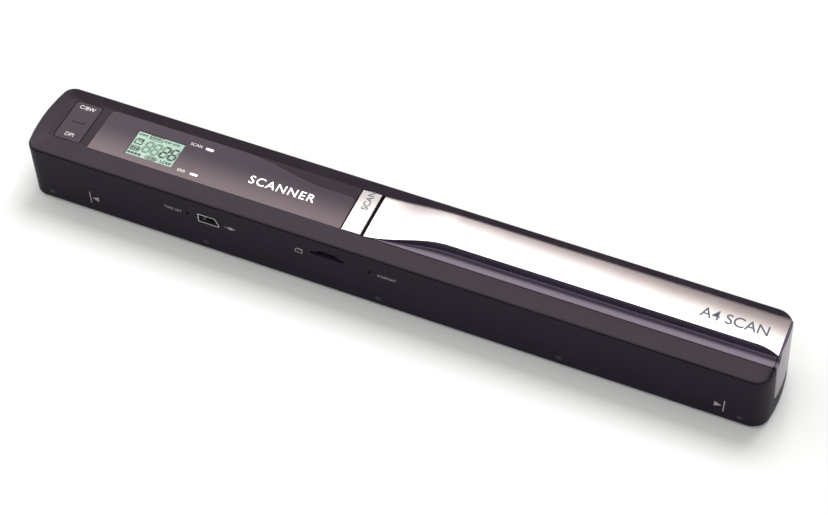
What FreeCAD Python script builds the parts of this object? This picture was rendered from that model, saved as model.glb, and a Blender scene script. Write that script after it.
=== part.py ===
import FreeCAD, Part
import math
import os

Vec = FreeCAD.Vector

# A hand-held wand document scanner: a slim bar that is rolled over a page on four rubber tyres.
# Millimetres. X runs along the bar, +X towards the grip end; Y across it, -Y is the connector side;
# Z is up. The origin is under the middle of the bar, at the level of the page.

# ---- driving dimensions -------------------------------------------------------------------------
LENGTH = 257.4              # overall, at the foot of the right-hand end
WIDTH = 30.2                # overall, at the seam between the two shells
FOOT_WIDTH = 29.4           # across the lower edge of the shell
FOOT_Z = 0.7                # height of the shell's lower edge over the page
SEAM_Z = 23.0               # joint between lower and upper shell
DECK_Z = 25.45              # top face of the upper shell
GRIP_Z = 31.05              # edge of the raised grip
WALL = 1.6                  # shell wall
END_RADIUS = 56.0           # the ends bow outwards a little, seen from above
CORNER_LEFT = 4.5           # upright corner radii
CORNER_RIGHT = 6.0
RIGHT_LEAN = 1.6            # how far the right-hand end leans out from its top to its foot
SEAM_GAP = 0.3              # shadow line between the shells

INLAY_HALF = 9.0            # half width of the inlaid window, scan button and grip cover
GRIP_HALF = 6.35            # half width of the grip's flat top
RAMP_START = -9.9           # the grip rises along an S between these two places
RAMP_END = 20.1
KEY_X = (-119.8, -110.1)    # rocker key
WINDOW_X = (-106.9, -16.2)  # display window
BUTTON_X = (-15.8, -9.0)    # scan button
GRIP_X = -7.9               # start of the grip cover
TRIM_END_X = 126.2          # end of the silver trim
TRIM_T = 0.5                # thickness of the silver trim
WINDOW_T = 1.2              # thickness of the display window
FIT = 0.12                  # gap round an inlaid piece

LCD_X = (-94.5, -77.2)      # visible area of the display
LCD_Y = (-6.6, 4.3)
LED_X = -69.1               # middle of the two status lights
LED_Y = (5.3, -6.4)
LED_SIZE = (3.2, 1.4)

TYRE_R = 3.4                # rollers: radius, axis distance from the middle, widths
SHAFT_R = 1.0
SHAFT_Y = 9.0
TYRE_W = 4.4
TYRE_X = (-112.9, 120.2)    # middles of the left and right tyres
BUSH_X = (-117.4, 123.5)    # middles of the bearing blocks
BEARING_GAP = 0.05          # radial clearance of a running fit

SENSOR_X = (-110.0, 116.9)  # contact image sensor
SENSOR_HALF = 6.5
SENSOR_Z = (2.3, 7.6)
GLASS_Z = (1.2, 2.3)

BOARD_X = (-106.0, -4.0)    # main circuit board
BOARD_Z = (14.4, 15.4)
USB_X = (-64.2, -56.7)      # mini-B socket opening in the front wall
USB_Z = (13.9, 17.6)
CARD_X = (-24.0, -12.4)     # memory card slot
CARD_Z = (16.1, 17.6)
TIME_HOLE_X = -68.0         # pin holes for the two reset switches
FORMAT_HOLE_X = -3.7
PIN_HOLE_Z = 16.1
PIN_HOLE_R = 0.6

CELL_R = 7.2                # two AA cells lie end to end
CELL_LENGTH = 49.4
CELL_NUB = 1.1
CELL_Y = 4.9
CELL_Z = 15.85
CELL_X = 17.2               # left end of the first cell
DOOR_X = (12.0, 120.0)      # battery door opening in the back wall
DOOR_FOOT = 7.85
HINGE_Y = 13.95
HINGE_Z = 8.9
HINGE_R = 0.85
DOOR_GAP = 0.2

SNAP_X = (-120.3, -62.6, -0.9, 60.6, 119.7)   # snap studs that hold the base plate
SNAP_Z = 3.6
SNAP_R = 1.1


# ---- plain solids -------------------------------------------------------------------------------
def box(x_range, y_range, z_range):
    size = [high - low for low, high in (x_range, y_range, z_range)]
    return Part.makeBox(*size, Vec(x_range[0], y_range[0], z_range[0]))


def rod_x(x_range, y, z, radius):
    return Part.makeCylinder(radius, x_range[1] - x_range[0], Vec(x_range[0], y, z), Vec(1, 0, 0))


def rod_y(x, y_range, z, radius):
    return Part.makeCylinder(radius, y_range[1] - y_range[0], Vec(x, y_range[0], z), Vec(0, 1, 0))


def rod_z(x, y, z_range, radius):
    return Part.makeCylinder(radius, z_range[1] - z_range[0], Vec(x, y, z_range[0]))


def rounded_box(x_range, y_range, z_range, radius):
    body = box(x_range, y_range, z_range)
    upright = [e for e in body.Edges if abs(e.tangentAt(e.FirstParameter).z) > 0.99]
    return body.makeFillet(radius, upright)


def prism_y(points_xz, y_range):
    wire = Part.makePolygon([Vec(x, y_range[0], z) for x, z in points_xz + points_xz[:1]])
    return Part.Face(wire).extrude(Vec(0, y_range[1] - y_range[0], 0))


def union(shapes):
    result = shapes[0].fuse(shapes[1:]) if len(shapes) > 1 else shapes[0]
    return result.removeSplitter()


def group(solids):
    """Pieces of the same kind that share one node."""
    return Part.makeCompound(solids)


# ---- plan outline of the bar --------------------------------------------------------------------
def rise(z):
    """0 at the shell's foot, 1 at the seam."""
    return (z - FOOT_Z) / (SEAM_Z - FOOT_Z)


def half_width(z):
    return (FOOT_WIDTH + (WIDTH - FOOT_WIDTH) * min(rise(z), 1.0)) / 2


def corner_centre(half, radius, end):
    """Where a corner arc touches both the side and the bowed end whose tip is at x = end."""
    sign = math.copysign(1, end)
    end_centre = abs(end) - END_RADIUS
    reach = math.sqrt((END_RADIUS - radius) ** 2 - (half - radius) ** 2)
    return sign * (end_centre + reach)


def outline(z, side=0.0, left=0.0, right=0.0, corners=(CORNER_LEFT, CORNER_RIGHT)):
    """Closed outline at height z, drawn in from the side walls and from each end."""
    half = half_width(z) - side
    ends = (-LENGTH / 2 + left, LENGTH / 2 - RIGHT_LEAN * (z - FOOT_Z) / (GRIP_Z - FOOT_Z) - right)
    edges = []
    joints = []
    for end, radius in zip(ends, corners):
        sign = math.copysign(1, end)
        cx = corner_centre(half, radius, end)
        tip = Vec(end, 0, z)
        bow_centre = Vec(end - sign * END_RADIUS, 0, z)
        touch = []
        for y_sign in (-1, 1):
            centre = Vec(cx, y_sign * (half - radius), z)
            outward = (centre - bow_centre).normalize()
            on_end = centre + outward * radius
            on_side = Vec(cx, y_sign * half, z)
            between = (outward + Vec(0, y_sign, 0)).normalize()
            edges.append(Part.Arc(on_side, centre + between * radius, on_end).toShape())
            touch.append(on_end)
            joints.append(on_side)
        edges.append(Part.Arc(touch[0], tip, touch[1]).toShape())
    edges.append(Part.LineSegment(joints[0], joints[2]).toShape())
    edges.append(Part.LineSegment(joints[1], joints[3]).toShape())
    return Part.Wire(Part.__sortEdges__(edges))


def loft(wires):
    return Part.makeLoft(wires, True, True)


def envelope(z_range, inset=0.0, right=0.0):
    """The bar's outer form between two heights, drawn in by an even inset."""
    corners = (CORNER_LEFT - inset, CORNER_RIGHT - inset)
    return loft([outline(z, inset, inset, inset + right, corners) for z in z_range])


# ---- end tongue of the grip cover ---------------------------------------------------------------
TONGUE_T = 1.3              # thickness where it lies on the end of the bar
TONGUE_FOOT = 8.0           # height of its lower edge
TONGUE_FOOT_HALF = 7.8      # half width at the lower edge
TONGUE_BACK_X = 118.0       # any plane well inside the end


def tongue_prism(grow):
    """Tapered block, seen along X, that trims the tongue and its seat in the shells."""
    top = DECK_Z + grow
    foot = TONGUE_FOOT - grow
    points = [(-INLAY_HALF - grow, top), (INLAY_HALF + grow, top),
              (TONGUE_FOOT_HALF + grow, foot), (-TONGUE_FOOT_HALF - grow, foot)]
    wire = Part.makePolygon([Vec(TONGUE_BACK_X, y, z) for y, z in points + points[:1]])
    block = Part.Face(wire).extrude(Vec(LENGTH - TONGUE_BACK_X, 0, 0))
    lower = [e for e in block.Edges if len(e.Vertexes) == 2
             and all(abs(v.Point.z - foot) < 0.01 for v in e.Vertexes)
             and abs(e.Vertexes[0].Point.x - e.Vertexes[1].Point.x) > 1]
    return block.makeFillet(2.0 + grow, lower)


def tongue_seat():
    """What is taken out of both shells so that the tongue lies flush."""
    return tongue_prism(FIT).cut(envelope((FOOT_Z, GRIP_Z + 2), TONGUE_T + FIT))


def make_tongue():
    span = (FOOT_Z, GRIP_Z + 2)
    return tongue_prism(0.0).common(envelope(span)).cut(envelope(span, TONGUE_T))


# ---- shells -------------------------------------------------------------------------------------
RIB_X = (-103.5, -21.0, 7.0, 123.3)     # cross ribs that take the deck screws
BOARD_RIB_X = (-99.0, -10.0)            # cross ribs that carry the main board
RIB_HALF_T = 1.6
SCREW_R = 0.8
SCREW_HEAD_R = 1.7
SCREW_HEAD_Z = (23.3, 24.2)
RIB_Z = (19.4, SEAM_Z - SEAM_GAP)
BOARD_RIB_Z = (12.9, BOARD_Z[0])
FRONT_Y = (-WIDTH / 2 - 1, -WIDTH / 2 + 3)


def usb_opening(grow):
    """The socket's mouth: wide at the foot, narrower at the top, with one slanted shoulder."""
    low, high = USB_Z
    left, right = USB_X
    points = [(left - grow, low - grow), (right + grow, low - grow), (right + grow, low + 1.0),
              (right - 1.3 + grow, high + grow), (left - grow, high + grow)]
    return prism_y(points, FRONT_Y)


def card_opening():
    """A slit with a shallow arched scoop over it for the fingertip."""
    slit = box(CARD_X, FRONT_Y, CARD_Z)
    middle = sum(CARD_X) / 2
    scoop_r = 5.6
    scoop_top = 19.4
    scoop = rod_y(middle, (-WIDTH / 2 - 1, -WIDTH / 2 + 0.9), scoop_top - scoop_r, scoop_r)
    above_slit = box(CARD_X, FRONT_Y, (CARD_Z[0], scoop_top))
    return slit.fuse(scoop.common(above_slit))


def make_lower_shell():
    top = SEAM_Z - SEAM_GAP / 2
    outer = envelope((FOOT_Z, top))
    foot_edges = [e for e in outer.Edges if all(abs(v.Point.z - FOOT_Z) < 0.01 for v in e.Vertexes)]
    outer = outer.makeFillet(0.7, foot_edges)
    shell = outer.cut(envelope((FOOT_Z - 1, top + 1), WALL, 1.6))
    ribs = [box((x - RIB_HALF_T, x + RIB_HALF_T), (-WIDTH / 2, WIDTH / 2), RIB_Z) for x in RIB_X]
    ribs += [box((x - RIB_HALF_T, x + RIB_HALF_T), (-WIDTH / 2, WIDTH / 2), BOARD_RIB_Z)
             for x in BOARD_RIB_X]
    shell = union([shell] + [rib.common(outer) for rib in ribs])
    cuts = [usb_opening(0.1), card_opening(), tongue_seat()]
    cuts += [rod_y(x, FRONT_Y, PIN_HOLE_Z, PIN_HOLE_R) for x in (TIME_HOLE_X, FORMAT_HOLE_X)]
    cuts += [rod_y(x, (-WIDTH, WIDTH), SNAP_Z, SNAP_R + 0.1) for x in SNAP_X]
    cuts += [rod_z(x, 0, (RIB_Z[0], RIB_Z[1] + 1), SCREW_R) for x in RIB_X]
    cuts += [rod_z(x, y, (BOARD_RIB_Z[0] - 1, BOARD_RIB_Z[1] + 1), SCREW_R)
             for x, y in BOARD_SCREWS]
    cuts.append(box(DOOR_X, (WIDTH / 2 - 4, WIDTH), (DOOR_FOOT, SEAM_Z)))
    cuts.append(rod_x((DOOR_X[0] - 3, DOOR_X[1] + 3), HINGE_Y, HINGE_Z, PIN_R + BEARING_GAP))
    return shell.cut(cuts)


def window_face(grow):
    """Outline of the display window: its back edge steps forward along an S beside the button."""
    left, right = WINDOW_X[0] - grow, WINDOW_X[1] + grow
    front, back, step = -INLAY_HALF - grow, INLAY_HALF + grow, 4.7 + grow
    radius = 2.0
    bend = [Vec(-58, back, 0), Vec(-45, back, 0), Vec(-40, step, 0), Vec(-25, step, 0)]
    curve = Part.BezierCurve()
    curve.setPoles(bend)
    edges = [
        Part.LineSegment(Vec(left, front, 0), Vec(right, front, 0)),
        Part.LineSegment(Vec(right, front, 0), Vec(right, step - radius, 0)),
        Part.Arc(Vec(right, step - radius, 0),
                 Vec(right - radius * (1 - math.sqrt(0.5)), step - radius * (1 - math.sqrt(0.5)), 0),
                 Vec(right - radius, step, 0)),
        Part.LineSegment(Vec(right - radius, step, 0), bend[3]),
        curve,
        Part.LineSegment(bend[0], Vec(left + radius, back, 0)),
        Part.Arc(Vec(left + radius, back, 0),
                 Vec(left + radius * (1 - math.sqrt(0.5)), back - radius * (1 - math.sqrt(0.5)), 0),
                 Vec(left, back - radius, 0)),
        Part.LineSegment(Vec(left, back - radius, 0), Vec(left, front, 0)),
    ]
    return Part.Face(Part.Wire(Part.__sortEdges__([edge.toShape() for edge in edges])))


def window_block(grow, z_range):
    face = window_face(grow)
    face.translate(Vec(0, 0, z_range[0]))
    return face.extrude(Vec(0, 0, z_range[1] - z_range[0]))


ROUND_R = 1.3               # rounded outer edge of the deck
ROUND_Z = 22.6              # height of that rounding's centre
ROUND_STEPS = 7
LIP_T = 1.0                 # lip of the upper shell inside the lower one
LIP_FOOT = 21.8
KEY_SWITCH_Y = 6.0
BOARD_POST_Z = 20.2         # upper face of the two small switch boards
KEY_PIN_Z = 22.9
KEY_PIN_R = 0.5
KEY_PIN_X = (KEY_X[0] - 1.6, KEY_X[1] + 1.6)
KEY_GAP = 0.2               # gap all round the key
KEY_SIDE = INLAY_HALF - 0.45
KEY_FLOOR = 22.65           # the key's opening goes down to here
LUG_X = 2.0                 # lugs that hold the key's pin
LUG_HALF_Y = 1.4
POST_R = 1.2                # posts that carry the switch boards
SCAN_MIDDLE = sum(BUTTON_X) / 2
BUTTON_T = 1.0
BUTTON_TRAVEL = 0.5
BUTTON_FLOOR = DECK_Z - BUTTON_T - BUTTON_TRAVEL - 0.1


def rounded_rim(foot):
    """Outlines up the round edge of the deck, until the round meets the sloping shoulder."""
    first = math.asin((foot - ROUND_Z) / ROUND_R)
    last = math.radians(73)
    wires = []
    for step in range(ROUND_STEPS):
        turn = first + (last - first) * step / (ROUND_STEPS - 1)
        inset = ROUND_R * (1 - math.cos(turn))
        corners = (CORNER_LEFT - inset, CORNER_RIGHT - inset)
        height = ROUND_Z + ROUND_R * math.sin(turn)
        wires.append(outline(height, inset, inset, 0.4 * inset, corners))
    return wires


def key_opening():
    """Opening round the key, and its clearance between the two lugs that hold the pin."""
    half = KEY_SIDE + KEY_GAP
    across = (KEY_X[0] - KEY_GAP, KEY_X[1] + KEY_GAP)
    return rounded_box(across, (-half, half), (KEY_FLOOR, DECK_Z + 1), 1.0 + KEY_GAP)


def deck_openings(foot):
    """Through holes in the deck for the display, its lights, the button's stem and the screws."""
    frame_x = (LCD_X[0] - 2.5, LCD_X[1] + 2.5)
    frame_y = (LCD_Y[0] - 1.8, LCD_Y[1] + 1.8)
    through = (foot - 1, DECK_Z)
    openings = [box(frame_x, frame_y, through)]
    openings += [rounded_box((LED_X - 2, LED_X + 2), (y - 1.1, y + 1.1), through, 0.6) for y in LED_Y]
    openings.append(rod_z(SCAN_MIDDLE, 0, through, STEM_R + 0.3))
    openings += [rod_z(x, 0, through, SCREW_R + 0.2) for x in RIB_X]
    head_seat = (SCREW_HEAD_Z[0] - 0.05, DECK_Z)
    openings += [rod_z(x, 0, head_seat, SCREW_HEAD_R + 0.1) for x in RIB_X]
    return openings


def make_lip(foot):
    """Lip that locates the upper shell in the lower one, notched round the ribs and the door."""
    outer = envelope((LIP_FOOT, foot + 0.1), WALL + 0.1, 1.7)
    inner = envelope((LIP_FOOT - 1, foot + 1), WALL + LIP_T, 1.7)
    notch_z = (LIP_FOOT - 1, foot)
    rib_notch = RIB_HALF_T + 0.1
    notches = [box((x - rib_notch, x + rib_notch), (-WIDTH, WIDTH), notch_z) for x in RIB_X]
    notches.append(box((DOOR_X[0] - 1, DOOR_X[1] + 1), (0, WIDTH), notch_z))
    return outer.cut([inner] + notches)


def make_upper_shell():
    foot = SEAM_Z + SEAM_GAP / 2
    deck_side = WIDTH / 2 - INLAY_HALF
    cap = loft(rounded_rim(foot) + [outline(DECK_Z, deck_side, deck_side, 0.8, (1.2, 2.0))])
    lug_y = (-LUG_HALF_Y, LUG_HALF_Y)
    lug_z = (KEY_PIN_Z - 1.2, foot + 0.1)
    lugs = [box((KEY_X[0] - KEY_GAP - LUG_X, KEY_X[0] - KEY_GAP), lug_y, lug_z),
            box((KEY_X[1] + KEY_GAP, KEY_X[1] + KEY_GAP + LUG_X), lug_y, lug_z)]
    posts = [rod_z(x, y, (BOARD_POST_Z, foot + 0.1), POST_R) for x, y in SWITCH_BOARD_POSTS]
    shell = union([cap, make_lip(foot)] + lugs + posts)
    seat = DECK_Z - WINDOW_T - 0.05
    inlay_y = (-INLAY_HALF - FIT, INLAY_HALF + FIT)
    cuts = [
        window_block(FIT, (seat, DECK_Z + 1)),
        key_opening(),
        box((WINDOW_X[1] + FIT, LENGTH), inlay_y, (seat, DECK_Z + 1)),
        box((WINDOW_X[1] + FIT, GRIP_X - FIT), inlay_y, (BUTTON_FLOOR, DECK_Z + 1)),
        rod_x(KEY_PIN_X, 0, KEY_PIN_Z, KEY_PIN_R),
        tongue_seat(),
    ]
    return shell.cut(cuts + deck_openings(foot))


# ---- grip cover and trim ------------------------------------------------------------------------
FLARE_START = 119.0         # the trim's front edge sweeps forward to the end of the bar
FLARE = 1.9
CROWN = 0.25                # rise of the trim's middle over its edges
COVER_T = 1.4               # wall of the grip cover
HOLLOW_X = (18.0, 124.0)    # the grip is hollow between these places


def ease(value):
    value = min(max(value, 0.0), 1.0)
    return value * value * (3 - 2 * value)


def grip_edges(x):
    """Front y, back y and height of the two creases of the grip's top face."""
    lift = ease((x - RAMP_START) / (RAMP_END - RAMP_START))
    half = INLAY_HALF - 0.02 + (GRIP_HALF - INLAY_HALF) * lift
    flare = FLARE * max(0.0, (x - FLARE_START) / (TRIM_END_X - FLARE_START)) ** 2
    return -half - min(flare, FLARE), half, DECK_Z + (GRIP_Z - DECK_Z) * lift


def facet(side_y, foot_z, edge_y, edge_z, x):
    """Side face of the grip: it flares out at its foot and steepens towards the crease."""
    dy, dz = edge_y - side_y, edge_z - foot_z
    curve = Part.BezierCurve()
    curve.setPoles([Vec(x, side_y, foot_z),
                    Vec(x, side_y + 0.45 * dy, foot_z + 0.12 * dz),
                    Vec(x, side_y + 0.75 * dy, foot_z + 0.55 * dz),
                    Vec(x, edge_y, edge_z)])
    return curve.toShape()


def cover_section(x):
    front, back, top = grip_edges(x)
    top -= TRIM_T
    floor_z = DECK_Z - WINDOW_T
    foot_z = min(DECK_Z - 0.05, top - 0.02)
    inward = 0.12 * min(1.0, (top - foot_z))
    front, back = front - inward, back + inward
    side = INLAY_HALF
    corners = [Vec(x, -side, foot_z), Vec(x, -side, floor_z), Vec(x, side, floor_z),
               Vec(x, side, foot_z)]
    front, back = max(front, -side + 0.01), min(back, side - 0.01)
    edges = [facet(-side, foot_z, front, top, x),
             Part.LineSegment(corners[0], corners[1]).toShape(),
             Part.LineSegment(corners[1], corners[2]).toShape(),
             Part.LineSegment(corners[2], corners[3]).toShape(),
             facet(side, foot_z, back, top, x),
             Part.LineSegment(Vec(x, back, top), Vec(x, front, top)).toShape()]
    return Part.Wire(Part.__sortEdges__(edges))


def trim_section(x):
    front, back, top = grip_edges(x)
    low = top - TRIM_T + 0.01
    foot_front, foot_back = max(front - 0.12, -INLAY_HALF), min(back + 0.12, INLAY_HALF)
    edges = [Part.Arc(Vec(x, front, top), Vec(x, (front + back) / 2, top + CROWN),
                      Vec(x, back, top)).toShape(),
             Part.LineSegment(Vec(x, back, top), Vec(x, foot_back, low)).toShape(),
             Part.LineSegment(Vec(x, foot_back, low), Vec(x, foot_front, low)).toShape(),
             Part.LineSegment(Vec(x, foot_front, low), Vec(x, front, top)).toShape()]
    return Part.Wire(Part.__sortEdges__(edges))


def along_grip(section, end_x):
    """Ramp, long straight stretch and flared end, each through its own sections."""
    ramp = [GRIP_X + (RAMP_END - GRIP_X) * step / 7 for step in range(8)]
    tail = [FLARE_START + (end_x - FLARE_START) * step / 4 for step in range(5)]
    pieces = [Part.makeLoft([section(x) for x in ramp], True, False),
              Part.makeLoft([section(RAMP_END), section(FLARE_START)], True, True),
              Part.makeLoft([section(x) for x in tail], True, False)]
    return pieces[0].fuse(pieces[1:])


def make_grip_cover():
    body = along_grip(cover_section, LENGTH / 2 + 1)
    body = body.common(envelope((FOOT_Z, GRIP_Z + 2)))
    hollow_half = GRIP_HALF - COVER_T
    hollow_z = (DECK_Z - WINDOW_T - 1, GRIP_Z - TRIM_T - COVER_T)
    hollow = box(HOLLOW_X, (-hollow_half, hollow_half), hollow_z)
    return body.cut(hollow).fuse(make_tongue()).removeSplitter()


# ---- small inlaid pieces ------------------------------------------------------------------------
STEM_R = 1.5
SWITCH_TOP = 21.5
LED_TOP = 22.0
LCD_FOOT = 23.0             # display glass: foot, and the step up into the window's opening
LCD_STEP = 24.2
STEM_FOOT = SWITCH_TOP + BUTTON_TRAVEL + 0.1
KEY_T = 1.35


def lcd_block(grow, z_range):
    return box((LCD_X[0] - grow, LCD_X[1] + grow), (LCD_Y[0] - grow, LCD_Y[1] + grow), z_range)


def led_block(y, grow, z_range):
    half_x, half_y = LED_SIZE[0] / 2 + grow, LED_SIZE[1] / 2 + grow
    return rounded_box((LED_X - half_x, LED_X + half_x), (y - half_y, y + half_y), z_range,
                       half_y - 0.05)


def make_display_window():
    window = window_block(0.0, (DECK_Z - WINDOW_T, DECK_Z))
    through = (DECK_Z - 3, DECK_Z + 1)
    return window.cut([lcd_block(0.03, through)] + [led_block(y, 0.03, through) for y in LED_Y])


def make_scan_button():
    """A plate as wide as the inlay, its top carrying on the start of the grip's rise."""
    front = INLAY_HALF - 0.1
    low = DECK_Z - BUTTON_T
    lift = 0.25
    face = Part.makePolygon([Vec(BUTTON_X[0], -front, low), Vec(BUTTON_X[1], -front, low),
                             Vec(BUTTON_X[1], -front, DECK_Z + lift), Vec(BUTTON_X[0], -front, DECK_Z),
                             Vec(BUTTON_X[0], -front, low)])
    plate = Part.Face(face).extrude(Vec(0, 2 * front, 0))
    top_edges = [e for e in plate.Edges if min(v.Point.z for v in e.Vertexes) > low + 0.1]
    return plate.makeFillet(0.2, top_edges).fuse(rod_z(SCAN_MIDDLE, 0, (STEM_FOOT, low), STEM_R))


def make_mode_key():
    plate = rounded_box(KEY_X, (-KEY_SIDE, KEY_SIDE), (DECK_Z - KEY_T, DECK_Z + 0.05), 1.0)
    top_edges = [e for e in plate.Edges if min(v.Point.z for v in e.Vertexes) > DECK_Z]
    plate = plate.makeFillet(0.25, top_edges)
    middle = sum(KEY_X) / 2
    bar = rounded_box((middle - 2.2, middle + 2.2), (-0.55, 0.55), (DECK_Z, DECK_Z + 0.3), 0.4)
    web = box((KEY_X[0] + 0.2, KEY_X[1] - 0.2), (-0.6, 0.6), (KEY_PIN_Z, DECK_Z - KEY_T))
    barrel = rod_x((KEY_X[0] + 0.2, KEY_X[1] - 0.2), 0, KEY_PIN_Z, 1.0)
    stems = [box((middle - 0.8, middle + 0.8), (y - 0.8, y + 0.8), (STEM_FOOT, DECK_Z - KEY_T))
             for y in (-KEY_SWITCH_Y, KEY_SWITCH_Y)]
    key = union([plate, bar, web, barrel] + stems)
    return key.cut(rod_x((KEY_X[0] - 1, KEY_X[1] + 1), 0, KEY_PIN_Z, KEY_PIN_R + BEARING_GAP))


# ---- electronics --------------------------------------------------------------------------------
BOARD_SCREWS = ((BOARD_RIB_X[0], 8.5), (BOARD_RIB_X[1], 8.5))
KEY_BOARD_X = (-122.0, -108.2)
SCAN_BOARD_X = (-18.0, -7.0)
SWITCH_BOARD_POSTS = ((-121.0, 9.5), (-121.0, -9.5), (-16.8, 8.0), (-8.2, -8.0))
SWITCH_BOARD_Z = (BOARD_POST_Z - 0.8, BOARD_POST_Z)
BOARD_Y = (-12.4, 11.0)
PLUNGER_Y = (-13.3, -10.6)      # reset switch plungers, end to end
PLUNGER_R = 0.5
USB_FRONT_Y = -14.3             # socket can, mouth and back
USB_BACK_Y = -5.6


def tact_switch(x, y):
    body = box((x - 1.6, x + 1.6), (y - 1.6, y + 1.6), (BOARD_POST_Z, BOARD_POST_Z + 0.9))
    return body.fuse(rod_z(x, y, (BOARD_POST_Z + 0.9, SWITCH_TOP), 0.8))


def side_switch(x):
    """A side-pushed reset switch, bored for its plunger."""
    body = box((x - 1.8, x + 1.8), (-12.2, -8.4), (BOARD_Z[1], BOARD_Z[1] + 1.7))
    return body.cut(rod_y(x, (-13, -10.0), PIN_HOLE_Z, PLUNGER_R + BEARING_GAP))


def make_main_board():
    board = box(BOARD_X, BOARD_Y, BOARD_Z)
    through = (BOARD_Z[0] - 1, BOARD_Z[1] + 1)
    usb_notch = box((USB_X[0] - 0.3, USB_X[1] + 0.3), (-WIDTH, USB_BACK_Y + 0.2), through)
    holes = [rod_z(x, y, through, SCREW_R + 0.2) for x, y in BOARD_SCREWS]
    return board.cut([usb_notch] + holes)


def make_usb_socket():
    """Bent metal can with its contact tongue inside."""
    block = usb_opening(-0.05)
    block.translate(Vec(0, 1.4, 0))
    front = block.common(box((-LENGTH, LENGTH), (USB_FRONT_Y, 0), (0, GRIP_Z)))
    back = box((USB_X[0] + 0.05, USB_X[1] - 0.05), (-10.8, USB_BACK_Y), (USB_Z[0] + 0.05, USB_Z[1] - 0.05))
    mouth = usb_opening(-0.4)
    mouth.translate(Vec(0, 0.9, 0))
    tongue_z = (USB_Z[0] + 1.3, USB_Z[0] + 2.0)
    tongue = box((USB_X[0] + 1.6, USB_X[1] - 2.4), (-13.6, -10.5), tongue_z)
    return front.fuse(back).cut(mouth).fuse(tongue).removeSplitter()


def make_card_socket():
    body = box((CARD_X[0] - 0.9, CARD_X[1] + 0.9), (-13.2, 2.0), (BOARD_Z[1], CARD_Z[1] + 0.3))
    slot_z = (CARD_Z[0] + 0.15, CARD_Z[1] - 0.35)
    slot = box((CARD_X[0] + 0.2, CARD_X[1] - 0.2), (-WIDTH, 1.2), slot_z)
    clear = box((-LENGTH, LENGTH), (-WIDTH, BOARD_Y[0]), (0, BOARD_Z[1] + 0.3))
    return body.cut([slot, clear])


def make_ribbon():
    """Flat cable that climbs from the sensor board to the main board and folds over its edge."""
    x_range = (-52.0, -40.0)
    t = 0.25
    run = [box(x_range, (2.0, 12.0), (SENSOR_Z[1], SENSOR_Z[1] + t)),
           box(x_range, (12.0 - t, 12.0), (SENSOR_Z[1], BOARD_Z[1] + t)),
           box(x_range, (7.0, 12.0), (BOARD_Z[1], BOARD_Z[1] + t))]
    return union(run)


# ---- base, sensor and rollers -------------------------------------------------------------------
BASE_Z = (0.9, 2.1)
GLASS_X = (SENSOR_X[0] + 2, SENSOR_X[1] - 2)    # cover glass over the light bar and lenses
GLASS_HALF = 4.8
BLOCK_Y = 2.6               # bearing blocks, width across the shaft and thickness along it
BLOCK_X = 1.4
BLOCK_TOP = 6.4
HUB_R = TYRE_R - 1.1
PINION_X = (-121.2, -119.2)
PINION_TEETH = 10
WHEEL_TEETH = 20
MODULE = 0.35
GEAR_AXIS_Z = TYRE_R + 5.0
GEAR_DISTANCE = MODULE * (PINION_TEETH + WHEEL_TEETH) / 2
GEAR_AXIS_Y = SHAFT_Y - math.sqrt(GEAR_DISTANCE ** 2 - (GEAR_AXIS_Z - TYRE_R) ** 2)
DISC_X = (-123.0, -122.6)
DISC_R = 4.6
AXLE_R = 0.6
GEAR_LINE = math.atan2(GEAR_AXIS_Z - TYRE_R, GEAR_AXIS_Y - SHAFT_Y)


def make_base_plate():
    plate = envelope(BASE_Z, WALL + 0.1, 1.6)
    tabs = []
    for x in SNAP_X:
        for side in (-1, 1):
            wall = half_width(SNAP_Z) - WALL - 0.25
            y_range = sorted((side * (wall - 0.4), side * wall))
            tabs.append(box((x - 1.2, x + 1.2), y_range, (BASE_Z[0], SNAP_Z + 1.6)))
            y_range = sorted((side * (wall - 0.3), side * (half_width(SNAP_Z) - 0.15)))
            tabs.append(rod_y(x, y_range, SNAP_Z, SNAP_R))
    through = (BASE_Z[0] - 1, BASE_Z[1] + 1)
    cuts = [box((GLASS_X[0] - 0.5, GLASS_X[1] + 0.5), (-GLASS_HALF - 0.2, GLASS_HALF + 0.2), through)]
    for x in TYRE_X:
        for side in (-1, 1):
            y_range = sorted((side * (SHAFT_Y - 3.6), side * (SHAFT_Y + 3.6)))
            cuts.append(box((x - TYRE_W / 2 - 0.4, x + TYRE_W / 2 + 0.4), y_range, through))
    cuts.append(box((PINION_X[0] - 0.4, PINION_X[1] + 0.4), (SHAFT_Y - 2.6, SHAFT_Y + 2.6),
                    (1.2, through[1])))
    return union([plate] + tabs).cut(cuts)


def make_sensor_housing():
    body = box(SENSOR_X, (-SENSOR_HALF, SENSOR_HALF), (SENSOR_Z[0], SENSOR_Z[1] - 0.8))
    light_slot = box((SENSOR_X[0] + 3, SENSOR_X[1] - 3), (-4.4, -1.4), (SENSOR_Z[0] - 1, 5.2))
    lens_slot = box((SENSOR_X[0] + 3, SENSOR_X[1] - 3), (0.4, 2.2), (SENSOR_Z[0] - 1, SENSOR_Z[1]))
    return body.cut([light_slot, lens_slot])


def bearing_block(x, y):
    across = (x - BLOCK_X / 2, x + BLOCK_X / 2)
    block = rounded_box(across, (y - BLOCK_Y / 2, y + BLOCK_Y / 2), (BASE_Z[1], BLOCK_TOP), 0.3)
    return block.cut(rod_x((x - 2, x + 2), y, TYRE_R, SHAFT_R + BEARING_GAP))


def tyre(x, y):
    ring = rod_x((x - TYRE_W / 2, x + TYRE_W / 2), y, TYRE_R, TYRE_R)
    ring = ring.makeFillet(0.4, [e for e in ring.Edges if e.Closed])
    return ring.cut(rod_x((x - TYRE_W, x + TYRE_W), y, TYRE_R, HUB_R))


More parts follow.
